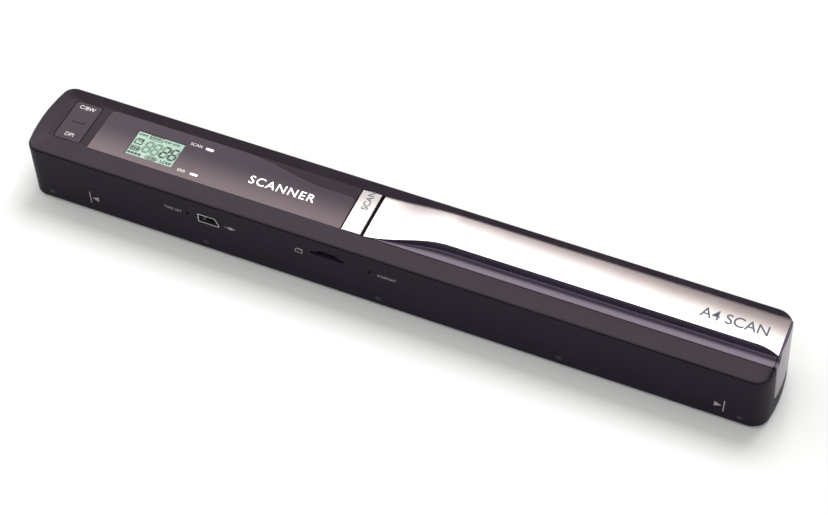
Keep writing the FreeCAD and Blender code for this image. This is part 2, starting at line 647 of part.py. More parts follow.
def hub(x, y):
    """Plastic wheel centre with a collar, pressed on the shaft."""
    disc = rod_x((x - TYRE_W / 2 + 0.2, x + TYRE_W / 2 - 0.2), y, TYRE_R, HUB_R)
    collar = rod_x((x - TYRE_W / 2 - 0.1, x + TYRE_W / 2 + 0.1), y, TYRE_R, SHAFT_R + 0.6)
    return disc.fuse(collar).cut(rod_x((x - TYRE_W, x + TYRE_W), y, TYRE_R, SHAFT_R))


def gear(x_range, y, z, teeth, phase):
    """Straight-cut gear with slim trapezoid teeth, so that a pair runs with a little backlash."""
    pitch = 2 * math.pi / teeth
    root, tip = MODULE * (teeth / 2 - 1.2), MODULE * (teeth / 2 + 0.8)
    corners = []
    for tooth in range(teeth):
        middle = phase + tooth * pitch
        for radius, offset in ((root, -0.27), (tip, -0.11), (tip, 0.11), (root, 0.27)):
            angle = middle + offset * pitch
            across, up = radius * math.cos(angle), radius * math.sin(angle)
            corners.append(Vec(x_range[0], y + across, z + up))
    face = Part.Face(Part.makePolygon(corners + corners[:1]))
    return face.extrude(Vec(x_range[1] - x_range[0], 0, 0))


def make_encoder_gear():
    phase = GEAR_LINE + math.pi + math.pi / WHEEL_TEETH
    body = gear(PINION_X, GEAR_AXIS_Y, GEAR_AXIS_Z, WHEEL_TEETH, phase)
    return body.cut(rod_x((PINION_X[0] - 1, PINION_X[1] + 1), GEAR_AXIS_Y, GEAR_AXIS_Z, AXLE_R))


def make_encoder_disc():
    disc = rod_x(DISC_X, GEAR_AXIS_Y, GEAR_AXIS_Z, DISC_R)
    slots = []
    count = 18
    for index in range(count):
        slot = box((DISC_X[0] - 1, DISC_X[1] + 1), (-0.28, 0.28), (DISC_R - 1.7, DISC_R - 0.6))
        slot.rotate(Vec(0, 0, 0), Vec(1, 0, 0), 360 * index / count)
        slot.translate(Vec(0, GEAR_AXIS_Y, GEAR_AXIS_Z))
        slots.append(slot)
    bore = rod_x((DISC_X[0] - 1, DISC_X[1] + 1), GEAR_AXIS_Y, GEAR_AXIS_Z, AXLE_R)
    return disc.cut(slots + [bore])


BRACKET_X = ((-125.4, -124.2), (-118.4, -117.2))
BRACKET_FOOT_T = 0.8


def make_encoder_bracket():
    """Two cheeks on a foot that carry the encoder axle, cut back below to clear the rear shaft."""
    half = 1.8
    shelf = 6.8
    front, back = GEAR_AXIS_Y - half, GEAR_AXIS_Y + half
    solids = []
    for x_range in BRACKET_X:
        solids.append(box(x_range, (front, GEAR_AXIS_Y), (BASE_Z[1], shelf)))
        solids.append(box(x_range, (front, back), (shelf, GEAR_AXIS_Z + half)))
    foot_x = (BRACKET_X[0][0], BRACKET_X[1][1])
    solids.append(box(foot_x, (-4.0, GEAR_AXIS_Y - 1.0), (BASE_Z[1], BASE_Z[1] + BRACKET_FOOT_T)))
    bore = rod_x((foot_x[0] - 1, foot_x[1] + 1), GEAR_AXIS_Y, GEAR_AXIS_Z, AXLE_R + BEARING_GAP)
    return union(solids).cut(bore)


def make_encoder_sensor():
    """Fork-shaped light gate: the disc's rim runs through its gap."""
    x_range = (DISC_X[0] - 1.0, DISC_X[1] + 1.0)
    y_range = (GEAR_AXIS_Y - 7.6, GEAR_AXIS_Y - 2.6)
    low, high = GEAR_AXIS_Z - 1.6, GEAR_AXIS_Z + 1.6
    body = box(x_range, y_range, (low, high))
    gap = box((DISC_X[0] - 0.4, DISC_X[1] + 0.4), (GEAR_AXIS_Y - 5.2, GEAR_AXIS_Y), (0, GRIP_Z))
    stem_y = (y_range[0], y_range[0] + 2.2)
    stem = box(x_range, stem_y, (BASE_Z[1] + BRACKET_FOOT_T, low))
    return body.cut(gap).fuse(stem).removeSplitter()


# ---- power --------------------------------------------------------------------------------------
PIN_R = 0.4                 # battery door hinge pin
TRAY_X = (12.4, 119.8)
TRAY_Y = (-3.6, 12.6)
TRAY_Z = (7.85, 22.8)
TRAY_T = 1.0
CONTACT_T = 0.4


def make_battery_tray():
    """Floor, front wall and two ends; open at the back for the door and above for the deck."""
    floor = box(TRAY_X, TRAY_Y, (TRAY_Z[0], TRAY_Z[0] + 0.7))
    front = box(TRAY_X, (TRAY_Y[0], TRAY_Y[0] + TRAY_T), TRAY_Z)
    ends = [box((TRAY_X[0], TRAY_X[0] + TRAY_T), TRAY_Y, TRAY_Z),
            box((TRAY_X[1] - TRAY_T, TRAY_X[1]), TRAY_Y, TRAY_Z)]
    return union([floor, front] + ends)


def cell(x):
    can = rod_x((x, x + CELL_LENGTH), CELL_Y, CELL_Z, CELL_R)
    can = can.makeFillet(0.5, [e for e in can.Edges if e.Closed])
    return can.fuse(rod_x((x + CELL_LENGTH, x + CELL_LENGTH + CELL_NUB), CELL_Y, CELL_Z, 2.7))


def make_battery_spring():
    """Bent leaf of spring strip, pressed between its plate and the first cell."""
    left = TRAY_X[0] + TRAY_T + CONTACT_T
    strip_t = 0.5
    reach = 4.2
    wedge = [(left, CELL_Z - reach), (CELL_X - 0.02, CELL_Z), (left, CELL_Z + reach)]
    inner = [(x - strip_t, z) for x, z in wedge]
    half_y = 3.2
    y_range = (CELL_Y - half_y, CELL_Y + half_y)
    return prism_y(wedge, y_range).cut(prism_y(inner, (y_range[0] - 1, y_range[1] + 1)))


def make_battery_contacts():
    """Two plates, one on each end wall of the tray."""
    y_range, z_range = (CELL_Y - 4, CELL_Y + 4), (CELL_Z - 5, CELL_Z + 5)
    left, right = TRAY_X[0] + TRAY_T, TRAY_X[1] - TRAY_T
    return group([box((left, left + CONTACT_T), y_range, z_range),
                  box((right - CONTACT_T, right), y_range, z_range)])


def make_battery_door():
    """Panel that lies flush in the back wall and swings down on a barrel along its foot."""
    span = (DOOR_X[0] + DOOR_GAP, DOOR_X[1] - DOOR_GAP)
    skin = envelope((FOOT_Z, SEAM_Z)).cut(envelope((FOOT_Z - 1, SEAM_Z + 1), WALL - 0.1))
    top = SEAM_Z - 0.15
    panel = skin.common(box(span, (5, WIDTH), (HINGE_Z, top)))
    barrel = rod_x(span, HINGE_Y, HINGE_Z, HINGE_R)
    middle = sum(DOOR_X) / 2
    catch = box((middle - 4, middle + 4), (12.5, 13.6), (20.4, 21.4))
    grip_lines = [box((middle - 6, middle + 6), (WIDTH / 2 - 0.4, WIDTH), (z, z + 0.5))
                  for z in (18.2, 19.4, 20.6)]
    door = union([panel, barrel, catch]).cut(grip_lines)
    return door.cut(rod_x((span[0] - 1, span[1] + 1), HINGE_Y, HINGE_Z, PIN_R))


# ---- screws -------------------------------------------------------------------------------------
def screw(x, y, head_z, head_r, foot_z):
    """Pan-head screw with a cross recess."""
    top = head_z[1]
    head = rod_z(x, y, head_z, head_r)
    head = head.makeFillet(0.3, [e for e in head.Edges if e.Closed and e.Vertexes[0].Point.z > top - 0.01])
    shank = rod_z(x, y, (foot_z, head_z[0]), SCREW_R)
    recess_z = (top - 0.45, top + 1)
    recess = [box((x - 0.9, x + 0.9), (y - 0.2, y + 0.2), recess_z),
              box((x - 0.2, x + 0.2), (y - 0.9, y + 0.9), recess_z)]
    return head.fuse(shank).cut(recess)


def plunger(x):
    """Pin of a reset switch, rounded at the end that shows in the hole."""
    pin = rod_y(x, PLUNGER_Y, PIN_HOLE_Z, PLUNGER_R)
    rim = PLUNGER_Y[0] + 0.01
    return pin.makeFillet(0.15, [e for e in pin.Edges if e.Closed and e.Vertexes[0].Point.y < rim])


# ---- nodes --------------------------------------------------------------------------------------
def shell_nodes():
    pipes = group([led_block(y, 0.0, (LED_TOP + 0.2, DECK_Z)) for y in LED_Y])
    lights = group([box((LED_X - 1.0, LED_X + 1.0), (y - 0.6, y + 0.6), (LED_TOP - 0.8, LED_TOP))
                    for y in LED_Y])
    glass = lcd_block(0.0, (LCD_STEP, DECK_Z - 0.15)).fuse(lcd_block(1.5, (LCD_FOOT, LCD_STEP)))
    frame = lcd_block(2.2, (LCD_FOOT - 2.4, LCD_FOOT))
    frame = frame.cut(lcd_block(0.8, (LCD_FOOT - 1.4, DECK_Z)))
    return {
        "lower_shell": make_lower_shell(),
        "upper_shell": make_upper_shell(),
        "grip_cover": make_grip_cover(),
        "silver_trim": along_grip(trim_section, TRIM_END_X),
        "display_window": make_display_window(),
        "lcd_glass": glass,
        "lcd_frame": frame,
        "light_pipes": pipes,
        "status_leds": lights,
        "scan_button": make_scan_button(),
        "mode_key": make_mode_key(),
        "key_pin": rod_x(KEY_PIN_X, 0, KEY_PIN_Z, KEY_PIN_R),
    }


def electronic_nodes():
    key_middle = sum(KEY_X) / 2
    top = BOARD_Z[1]
    return {
        "key_board": box(KEY_BOARD_X, (-11.0, 11.0), SWITCH_BOARD_Z),
        "scan_board": box(SCAN_BOARD_X, (-10.0, 10.0), SWITCH_BOARD_Z),
        "tact_switches": group([tact_switch(key_middle, KEY_SWITCH_Y),
                                tact_switch(key_middle, -KEY_SWITCH_Y),
                                tact_switch(SCAN_MIDDLE, 0)]),
        "main_board": make_main_board(),
        "reset_switches": group([side_switch(TIME_HOLE_X), side_switch(FORMAT_HOLE_X)]),
        "time_set_plunger": plunger(TIME_HOLE_X),
        "format_plunger": plunger(FORMAT_HOLE_X),
        "usb_socket": make_usb_socket(),
        "card_socket": make_card_socket(),
        "processor_chip": box((-50, -38), (-7, 5), (top, top + 1.2)),
        "memory_chip": box((-34, -27), (-6, 5), (top, top + 1.1)),
        "clock_crystal": rounded_box((-55.5, -53.5), (-8, -3), (top, top + 1.6), 0.8),
        "ribbon_cable": make_ribbon(),
        "board_screws": group([screw(x, y, (top, top + 1.0), SCREW_HEAD_R, BOARD_RIB_Z[0])
                               for x, y in BOARD_SCREWS]),
        "deck_screws": group([screw(x, 0, SCREW_HEAD_Z, SCREW_HEAD_R, RIB_Z[0]) for x in RIB_X]),
    }


def sensor_nodes():
    along = (SENSOR_X[0] + 4, SENSOR_X[1] - 4)
    across = (-SENSOR_HALF, SENSOR_HALF)
    return {
        "base_plate": make_base_plate(),
        "sensor_glass": box(GLASS_X, (-GLASS_HALF, GLASS_HALF), GLASS_Z),
        "sensor_housing": make_sensor_housing(),
        "sensor_light_bar": box(along, (-4.2, -1.6), (2.5, 5.0)),
        "rod_lens_array": box(along, (0.5, 2.1), (3.0, 6.2)),
        "sensor_board": box(SENSOR_X, across, (SENSOR_Z[1] - 0.8, SENSOR_Z[1])),
    }


def roller_nodes():
    shaft_x = (BUSH_X[0] - BLOCK_X / 2, BUSH_X[1] + BLOCK_X / 2 + 0.1)
    rear_x = (PINION_X[0] - 0.2, shaft_x[1])
    axle_x = (BRACKET_X[0][0], BRACKET_X[1][1])
    pinion = gear(PINION_X, SHAFT_Y, TYRE_R, PINION_TEETH, GEAR_LINE)
    return {
        "bearing_blocks": group([bearing_block(x, y) for x in BUSH_X for y in (-SHAFT_Y, SHAFT_Y)]),
        "front_shaft": rod_x(shaft_x, -SHAFT_Y, TYRE_R, SHAFT_R),
        "front_hubs": group([hub(x, -SHAFT_Y) for x in TYRE_X]),
        "front_tyres": group([tyre(x, -SHAFT_Y) for x in TYRE_X]),
        "rear_shaft": rod_x(rear_x, SHAFT_Y, TYRE_R, SHAFT_R),
        "rear_hubs": group([hub(x, SHAFT_Y) for x in TYRE_X]),
        "rear_tyres": group([tyre(x, SHAFT_Y) for x in TYRE_X]),
        "shaft_pinion": pinion.cut(rod_x(rear_x, SHAFT_Y, TYRE_R, SHAFT_R)),
        "encoder_gear": make_encoder_gear(),
        "encoder_disc": make_encoder_disc(),
        "encoder_axle": rod_x(axle_x, GEAR_AXIS_Y, GEAR_AXIS_Z, AXLE_R),
        "encoder_bracket": make_encoder_bracket(),
        "encoder_sensor": make_encoder_sensor(),
    }


def power_nodes():
    pin_x = (DOOR_X[0] - 2.5, DOOR_X[1] + 2.5)
    return {
        "battery_tray": make_battery_tray(),
        "battery_cells": group([cell(CELL_X), cell(CELL_X + CELL_LENGTH + CELL_NUB + 0.02)]),
        "battery_spring": make_battery_spring(),
        "battery_contacts": make_battery_contacts(),
        "battery_door": make_battery_door(),
        "door_pin": rod_x(pin_x, HINGE_Y, HINGE_Z, PIN_R),
    }


def build_nodes():
    nodes = {}
    for part_group in (shell_nodes(), electronic_nodes(), sensor_nodes(), roller_nodes(), power_nodes()):
        nodes.update(part_group)
    return nodes


def main():
    os.makedirs("parts", exist_ok=True)
    for name, shape in build_nodes().items():
        shape.exportStep("parts/%s.step" % name)
        bounds = shape.BoundBox
        print("%-18s solids %d valid %s  x %.1f..%.1f  y %.1f..%.1f  z %.1f..%.1f" % (
            name, len(shape.Solids), shape.isValid(), bounds.XMin, bounds.XMax,
            bounds.YMin, bounds.YMax, bounds.ZMin, bounds.ZMax))


main()
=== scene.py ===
import math
import random

import bmesh
import bpy
from mathutils import Matrix, Vector


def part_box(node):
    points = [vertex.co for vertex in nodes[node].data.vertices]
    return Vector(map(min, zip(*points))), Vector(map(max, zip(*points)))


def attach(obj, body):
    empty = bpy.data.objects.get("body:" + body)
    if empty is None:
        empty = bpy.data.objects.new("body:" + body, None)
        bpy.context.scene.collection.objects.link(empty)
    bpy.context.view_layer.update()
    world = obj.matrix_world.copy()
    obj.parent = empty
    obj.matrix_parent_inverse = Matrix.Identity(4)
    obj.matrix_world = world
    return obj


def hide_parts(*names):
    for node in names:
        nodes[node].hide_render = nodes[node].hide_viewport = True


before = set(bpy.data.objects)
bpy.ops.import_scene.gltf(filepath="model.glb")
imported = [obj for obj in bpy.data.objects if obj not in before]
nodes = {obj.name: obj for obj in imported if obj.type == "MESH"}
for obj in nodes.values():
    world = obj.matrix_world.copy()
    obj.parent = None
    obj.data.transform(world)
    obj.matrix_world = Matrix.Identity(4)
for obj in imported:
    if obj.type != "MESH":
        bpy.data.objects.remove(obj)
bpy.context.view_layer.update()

MM = 0.001


# ---- Table, room light and camera ---------------------------------------------------------------
# The scanner lies on a plain pale table under a broad white ceiling and one large softbox above and
# behind it, which gives the soft shadow along its front. The walls of the room fall off to a warm
# dark grey, so the bright trim shades off at its back edge and the sides stay dark.
VIEW_AZIMUTH = math.radians(23.476)
VIEW_ELEVATION = math.radians(50.737)
VIEW_ROLL = math.radians(-0.70)
VIEW_DISTANCE = 641.49 * MM
VIEW_TARGET = Vector((5.434, 0.0, 10.925)) * MM
LENS_MM = 86.785
SENSOR_MM = 36.0
TABLE_HALF = 4.0
SOFTBOX_PLACE = (0.05, 0.56, 1.25)
SOFTBOX_SIZE = (0.6, 0.55)
SOFTBOX_POWER = 28
CEILING_TONES = (
    (0.00, (0.045, 0.041, 0.048)),
    (0.30, (0.058, 0.052, 0.057)),
    (0.40, (0.085, 0.070, 0.072)),
    (0.50, (0.210, 0.180, 0.178)),
    (0.58, (0.440, 0.420, 0.415)),
    (0.75, (0.880, 0.870, 0.860)),
    (0.95, (1.000, 1.000, 1.000)),
)
CEILING_LIGHT = 3.0
BACK_FALL = -0.45
FRONT_LIFT = 0.17
LEFT_LIFT = -0.60
LEFT_BLEND = 0.4


def add_camera():
    back = Vector((math.sin(VIEW_AZIMUTH) * math.cos(VIEW_ELEVATION),
                   -math.cos(VIEW_AZIMUTH) * math.cos(VIEW_ELEVATION),
                   math.sin(VIEW_ELEVATION)))
    right = (-back).cross(Vector((0, 0, 1))).normalized()
    up = right.cross(-back)
    rolled_right = right * math.cos(VIEW_ROLL) + up * math.sin(VIEW_ROLL)
    rolled_up = up * math.cos(VIEW_ROLL) - right * math.sin(VIEW_ROLL)
    turn = Matrix((rolled_right, rolled_up, back)).transposed()
    camera = bpy.data.objects.new("camera", bpy.data.cameras.new("camera"))
    camera.matrix_world = Matrix.Translation(VIEW_TARGET + back * VIEW_DISTANCE) @ turn.to_4x4()
    camera.data.lens = LENS_MM
    camera.data.sensor_width = SENSOR_MM
    camera.data.clip_start = 0.02
    bpy.context.scene.collection.objects.link(camera)
    bpy.context.scene.camera = camera


def add_softbox():
    lamp = bpy.data.lights.new("back_softbox", "AREA")
    lamp.shape = "RECTANGLE"
    lamp.size, lamp.size_y = SOFTBOX_SIZE
    lamp.energy = SOFTBOX_POWER
    softbox = bpy.data.objects.new("back_softbox", lamp)
    softbox.location = SOFTBOX_PLACE
    softbox.rotation_euler = (-Vector(SOFTBOX_PLACE)).to_track_quat("-Z", "Y").to_euler()
    softbox.visible_glossy = False
    bpy.context.scene.collection.objects.link(softbox)


def set_inputs(node, **values):
    """Values of a shader node's input sockets, each named with _ for a space."""
    for socket, value in values.items():
        node.inputs[socket.replace("_", " ")].default_value = value
    return node


def add_node(tree, kind, **values):
    return set_inputs(tree.nodes.new("ShaderNode" + kind), **values)


def set_tones(ramp, tones):
    """Stops of a colour ramp, as (position, colour) pairs in rising order."""
    steps = ramp.color_ramp.elements
    steps.remove(steps[1])
    steps[0].position, steps[0].color = tones[0][0], (*tones[0][1], 1)
    for position, colour in tones[1:]:
        steps.new(position).color = (*colour, 1)


def add_table():
    mesh = bpy.data.meshes.new("table")
    mesh.from_pydata([(x * TABLE_HALF, y * TABLE_HALF, 0) for x, y in ((-1, -1), (1, -1), (1, 1), (-1, 1))],
                     [], [(0, 1, 2, 3)])
    table = bpy.data.objects.new("table", mesh)
    bpy.context.scene.collection.objects.link(table)
    paint = bpy.data.materials.new("table_paint")
    paint.use_nodes = True
    set_inputs(paint.node_tree.nodes["Principled BSDF"], Base_Color=(0.350, 0.352, 0.348, 1),
               Roughness=0.9, Specular_IOR_Level=0.05)
    table.data.materials.append(paint)



def set_room():
    """Ceiling light: bright overhead and towards the front, falling off to the back right."""
    world = bpy.data.worlds.new("room")
    world.use_nodes = True
    tree = world.node_tree
    links = tree.links
    background = tree.nodes["Background"]
    parts = add_node(tree, "SeparateXYZ")
    links.new(add_node(tree, "TexCoord").outputs["Generated"], parts.inputs[0])

    def step(operation, *inputs, clamp=False):
        node = add_node(tree, "Math")
        node.operation = operation
        node.use_clamp = clamp
        for socket, value in zip(node.inputs, inputs):
            if isinstance(value, (int, float)):
                socket.default_value = value
            else:
                links.new(value, socket)
        return node.outputs[0]

    x, y, z = (parts.outputs[axis] for axis in "XYZ")
    behind = step("MULTIPLY_ADD", y, 1 / LEFT_BLEND, 0.5, clamp=True)
    with_back = step("MULTIPLY_ADD", step("MAXIMUM", y, 0.0), BACK_FALL, z)
    with_front = step("MULTIPLY_ADD", step("MINIMUM", y, 0.0), -FRONT_LIFT, with_back)
    level = step("MULTIPLY_ADD", step("MULTIPLY", x, behind), LEFT_LIFT, with_front)
    tone = add_node(tree, "ValToRGB")
    set_tones(tone, CEILING_TONES)
    links.new(level, tone.inputs["Fac"])
    links.new(tone.outputs["Color"], background.inputs["Color"])
    set_inputs(background, Strength=CEILING_LIGHT)
    bpy.context.scene.world = world
    bpy.context.scene.view_settings.view_transform = "Standard"


add_camera()
add_table()
set_room()
add_softbox()


# ---- Lower shell --------------------------------------------------------------------------------
# A deep tub of satin, almost black plum ABS, moulded in one piece with its ribs. Fine spark
# texture all over; the connectors and pin holes are cut through its front wall.
FOOT_Z = 0.7 * MM
SEAM_Z = 23.0 * MM
FOOT_HALF = 14.7 * MM
SEAM_HALF = 15.1 * MM


def metres(cell):
    """Noise scale that gives grains of this size."""
    return 1.0 / cell


def surface(name, dark, light, roughness, grain=0.3 * MM, bump=0.10, patch=14 * MM, spread=0.05):
    """Moulded or finished surface: slow colour drift, uneven gloss and a fine raised grain."""
    material = bpy.data.materials.new(name)
    material.use_nodes = True
    tree = material.node_tree
    links = tree.links
    shader = tree.nodes["Principled BSDF"]
    place = add_node(tree, "TexCoord")
    drift = add_node(tree, "TexNoise", Scale=metres(patch), Detail=3.0)
    colour = add_node(tree, "ValToRGB")
    set_tones(colour, ((0.35, dark), (0.65, light)))
    gloss = add_node(tree, "MapRange", From_Min=0.3, From_Max=0.7, To_Min=roughness - spread,
                     To_Max=roughness + spread)
    raised = add_node(tree, "TexNoise", Scale=metres(grain), Detail=2.0)
    relief = add_node(tree, "Bump", Strength=bump, Distance=0.1 * MM)
    links.new(place.outputs["Object"], drift.inputs["Vector"])
    links.new(place.outputs["Object"], raised.inputs["Vector"])
    links.new(drift.outputs["Fac"], colour.inputs["Fac"])
    links.new(colour.outputs["Color"], shader.inputs["Base Color"])
    links.new(drift.outputs["Fac"], gloss.inputs["Value"])
    links.new(gloss.outputs["Result"], shader.inputs["Roughness"])
    links.new(raised.outputs["Fac"], relief.inputs["Height"])
    links.new(relief.outputs["Normal"], shader.inputs["Normal"])
    return material


def set_shader(material, **values):
    """Even properties of a finish, such as its specular level, coat or metallic share."""
    set_inputs(material.node_tree.nodes["Principled BSDF"], **values)
    return material


def finish_nodes(material, *names, crease=35):
    """Gives CAD nodes their material and a smooth finish between real edges."""
    for name in names:
        mesh = nodes[name].data
        mesh.materials.clear()
        mesh.materials.append(material)
        smooth(mesh, crease)


def smooth(mesh, crease):
    mesh.polygons.foreach_set("use_smooth", [True] * len(mesh.polygons))
    mesh.set_sharp_from_angle(angle=math.radians(crease))


def wall_half(z):
    return FOOT_HALF + (SEAM_HALF - FOOT_HALF) * (z - FOOT_Z) / (SEAM_Z - FOOT_Z)


lower_satin = surface("plum_black_satin", (0.0080, 0.0054, 0.0112), (0.0105, 0.0074, 0.0145), 0.48)
set_shader(lower_satin, Specular_IOR_Level=0.09, Specular_Tint=(0.96, 0.84, 1.0, 1))
finish_nodes(lower_satin, "lower_shell")


# ---- Marks printed on the front wall ------------------------------------------------------------
# Small pale grey pad prints: the name of each pin hole, a plug and a card mark, and a bar with an
# arrow at each end of the strip that the sensor reads.
INK_T = 0.03 * MM
LABEL_HEIGHT = 1.15 * MM

pale_ink = surface("pale_grey_ink", (0.20, 0.19, 0.20), (0.27, 0.255, 0.265), 0.6, bump=0.02)


def new_piece(name, mesh, material, body):
    mesh.materials.clear()
    mesh.materials.append(material)
    piece = bpy.data.objects.new(name, mesh)
    bpy.context.scene.collection.objects.link(piece)
    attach(piece, body)
    return piece


def word_mesh(words, height, thickness=INK_T, spacing=1.0, stroke_gain=0.0):
    """Letters as a thin solid on the XY plane, centred, as high as asked."""
    curve = bpy.data.curves.new("word", "FONT")
    curve.body = words
    curve.align_x = "CENTER"
    curve.align_y = "CENTER"
    curve.space_character = spacing
    curve.extrude = 0.05
    curve.offset = stroke_gain
    source = bpy.data.objects.new("word", curve)
    bpy.context.scene.collection.objects.link(source)
    bpy.context.view_layer.update()
    mesh = bpy.data.meshes.new_from_object(source.evaluated_get(bpy.context.evaluated_depsgraph_get()))
    bpy.data.objects.remove(source)
    bpy.data.curves.remove(curve)
    lowest = Vector([min(v.co[axis] for v in mesh.vertices) for axis in range(3)])
    highest = Vector([max(v.co[axis] for v in mesh.vertices) for axis in range(3)])
    middle = (lowest + highest) / 2
    scale = height / (highest.y - lowest.y)
    mesh.transform(Matrix.Translation(-middle))
    mesh.transform(Matrix.Diagonal((scale, scale, thickness / (highest.z - lowest.z), 1)))
    return mesh


def skin_rings(form, rings):
    """Faces between each ring of corners and the next one."""
    for ring, after in zip(rings, rings[1:]):
        for index in range(len(ring)):
            follow = (index + 1) % len(ring)
            form.faces.new((ring[index], ring[follow], after[follow], after[index]))


def form_mesh(form, name):
    """Mesh of a closed form, its faces turned outwards."""
    bmesh.ops.recalc_face_normals(form, faces=form.faces)
    mesh = bpy.data.meshes.new(name)
    form.to_mesh(mesh)
    form.free()
    return mesh


def plates_mesh(outlines, thickness=INK_T):
    """Thin flat plates on the XY plane, one for each closed outline of (x, y) points."""
    form = bmesh.new()
    for outline in outlines:
        low = [form.verts.new((x, y, -thickness / 2)) for x, y in outline]
        high = [form.verts.new((x, y, thickness / 2)) for x, y in outline]
        form.faces.new(high)
        form.faces.new(low[::-1])
        skin_rings(form, (low, high))
    return form_mesh(form, "plates")


def rectangle(x, y, width, height):
    return [(x - width / 2, y - height / 2), (x + width / 2, y - height / 2),
            (x + width / 2, y + height / 2), (x - width / 2, y + height / 2)]


def stroke(start, end, width):
    """Outline of a straight stroke with square ends."""
    start, end = Vector(start), Vector(end)
    along = (end - start).normalized()
    side = Vector((-along.y, along.x)) * width / 2
    return [tuple(start - side), tuple(end - side), tuple(end + side), tuple(start + side)]


def outline_strokes(corners, width):
    """Strokes from each corner to the next, back to the first."""
    return [stroke(a, b, width) for a, b in zip(corners, corners[1:] + corners[:1])]


def on_front_wall(mesh, x, z):
    """Lays a flat mark on the leaning front wall, its foot towards the table."""
    lean = math.atan2(SEAM_HALF - FOOT_HALF, SEAM_Z - FOOT_Z)
    place = Matrix.Translation((x, -wall_half(z) - INK_T / 4, z))
    mesh.transform(place @ Matrix.Rotation(math.radians(90) + lean, 4, "X"))
    return mesh


def front_print(name, mesh, x, z):
    new_piece(name, on_front_wall(mesh, x * MM, z * MM), pale_ink, "case")


def plug_mark():
    """A small plug: body, two blades and a lead."""
    w = 0.18 * MM
    return [rectangle(0, 0, 1.5 * MM, 1.1 * MM),
            stroke((0.75 * MM, 0.3 * MM), (1.6 * MM, 0.3 * MM), w),
            stroke((0.75 * MM, -0.3 * MM), (1.6 * MM, -0.3 * MM), w),
            stroke((-2.2 * MM, 0), (-0.75 * MM, 0), w)]


def card_mark():
    """Outline of a memory card with one cut corner, and three contact strokes."""
    w = 0.2 * MM
    corners = [(-1.2, -1.0), (1.2, -1.0), (1.2, 1.0), (-0.5, 1.0), (-1.2, 0.4)]
    marks = outline_strokes([(x * MM, y * MM) for x, y in corners], w)
    marks += [stroke((x * MM, 0.3 * MM), (x * MM, 0.8 * MM), w) for x in (-0.3, 0.25, 0.8)]
    return marks


def range_mark(direction):
    """Bar at the end of the scanned strip, and an arrowhead that points at it."""
    tip = -0.75 * direction * MM
    base = -3.1 * direction * MM
    return [rectangle(0, 0, 0.35 * MM, 5.6 * MM), [(tip, 0), (base, 1.15 * MM), (base, -1.15 * MM)]]


front_print("time_set_print", word_mesh("TIME SET", LABEL_HEIGHT), -73.3, 16.0)
front_print("format_print", word_mesh("FORMAT", LABEL_HEIGHT), 2.5, 15.9)
front_print("plug_print", plates_mesh(plug_mark()), -52.6, 15.2)
front_print("card_print", plates_mesh(card_mark()), -28.2, 15.6)
front_print("left_range_print", plates_mesh(range_mark(-1)), -105.0, 7.5)
front_print("right_range_print", plates_mesh(range_mark(1)), 114.2, 7.1)


# ---- Upper shell --------------------------------------------------------------------------------
# The deck and its sloping shoulders: one ABS moulding in a warm gunmetal lacquer with a fine
# grain, clipped into the lower shell over a thin shadow gap.
upper_satin = surface("warm_gunmetal_lacquer", (0.0065, 0.0042, 0.0068), (0.0085, 0.0058, 0.0088), 0.36,
                      grain=0.18 * MM, bump=0.08)
set_shader(upper_satin, Specular_IOR_Level=0.23, Specular_Tint=(1.0, 0.84, 0.96, 1))
finish_nodes(upper_satin, "upper_shell")


# ---- Grip cover ---------------------------------------------------------------------------------
# The raised hand grip and the tongue that wraps down over the end: one thick moulding in polished
# plum-blue plastic, clipped over the battery bay. Its sides flare out softly at the foot.
DECK_Z = 25.45 * MM
GRIP_Z = 31.05 * MM
INLAY_HALF = 9.0 * MM
GRIP_HALF = 6.35 * MM
GRIP_X = -7.9 * MM
RAMP = (-9.9 * MM, 20.1 * MM)
TRIM_END = 126.2 * MM
TRIM_T = 0.5 * MM
COVER_FOOT = 24.3 * MM
COVER_HALF = 8.74 * MM
COVER_SHOULDER = DECK_Z - 0.05 * MM
SEAT_GAP = 0.02 * MM
END_X = 128.7 * MM
END_LEAN = 1.6 / 30.35
END_BOW = 56.0 * MM
TONGUE_FOOT = 8.0 * MM
TONGUE_FOOT_HALF = 7.8 * MM
TONGUE_T = 1.3 * MM
TONGUE_CORNER = 2.0 * MM
TONGUE_ROUND = 0.25 * MM
FLARE_START = 119.0 * MM
SKIN_CREASE = 40


def ease(value):
    value = min(max(value, 0.0), 1.0)
    return value * value * (3 - 2 * value)


def flank_shares(steps=32):
    """Side of the grip from foot to crease, as shares of its reach and height: a low flare, then steep."""
    slopes = [(0.0, 3), (0.60, 52), (0.64, 82), (1.0, 80)]
    points = [(0.0, 0.0)]
    for step in range(steps):
        share = (step + 0.5) / steps
        low, high = next((a, b) for a, b in zip(slopes, slopes[1:]) if share <= b[0])
        part = (share - low[0]) / (high[0] - low[0])
        slope = math.radians(low[1] + (high[1] - low[1]) * part)
        points.append((points[-1][0] + math.cos(slope), points[-1][1] + math.sin(slope)))
    reach, height = points[-1]
    return [(across / reach, up / height) for across, up in points]


FLANK = flank_shares()


def cover_section(x):
    """Ring round the grip cover at one place: foot, front side, flat under the trim, back side."""
    lift = ease((x - RAMP[0]) / (RAMP[1] - RAMP[0]))
    half = min(INLAY_HALF - 0.14 * MM + (GRIP_HALF - INLAY_HALF) * lift, COVER_HALF - SEAT_GAP)
    top = DECK_Z + (GRIP_Z - DECK_Z) * lift - TRIM_T
    foot = min(COVER_SHOULDER, top - SEAT_GAP)
    round_off = min(0.12 * MM, (foot - COVER_FOOT) / 2)
    start = COVER_HALF - round_off
    side = [(COVER_HALF, COVER_FOOT), (COVER_HALF, foot - round_off)]
    side += [(start - (start - half) * across, foot + (top - foot) * up) for across, up in FLANK]
    return [Vector((x, -y, z)) for y, z in side] + [Vector((x, y, z)) for y, z in side[::-1]]


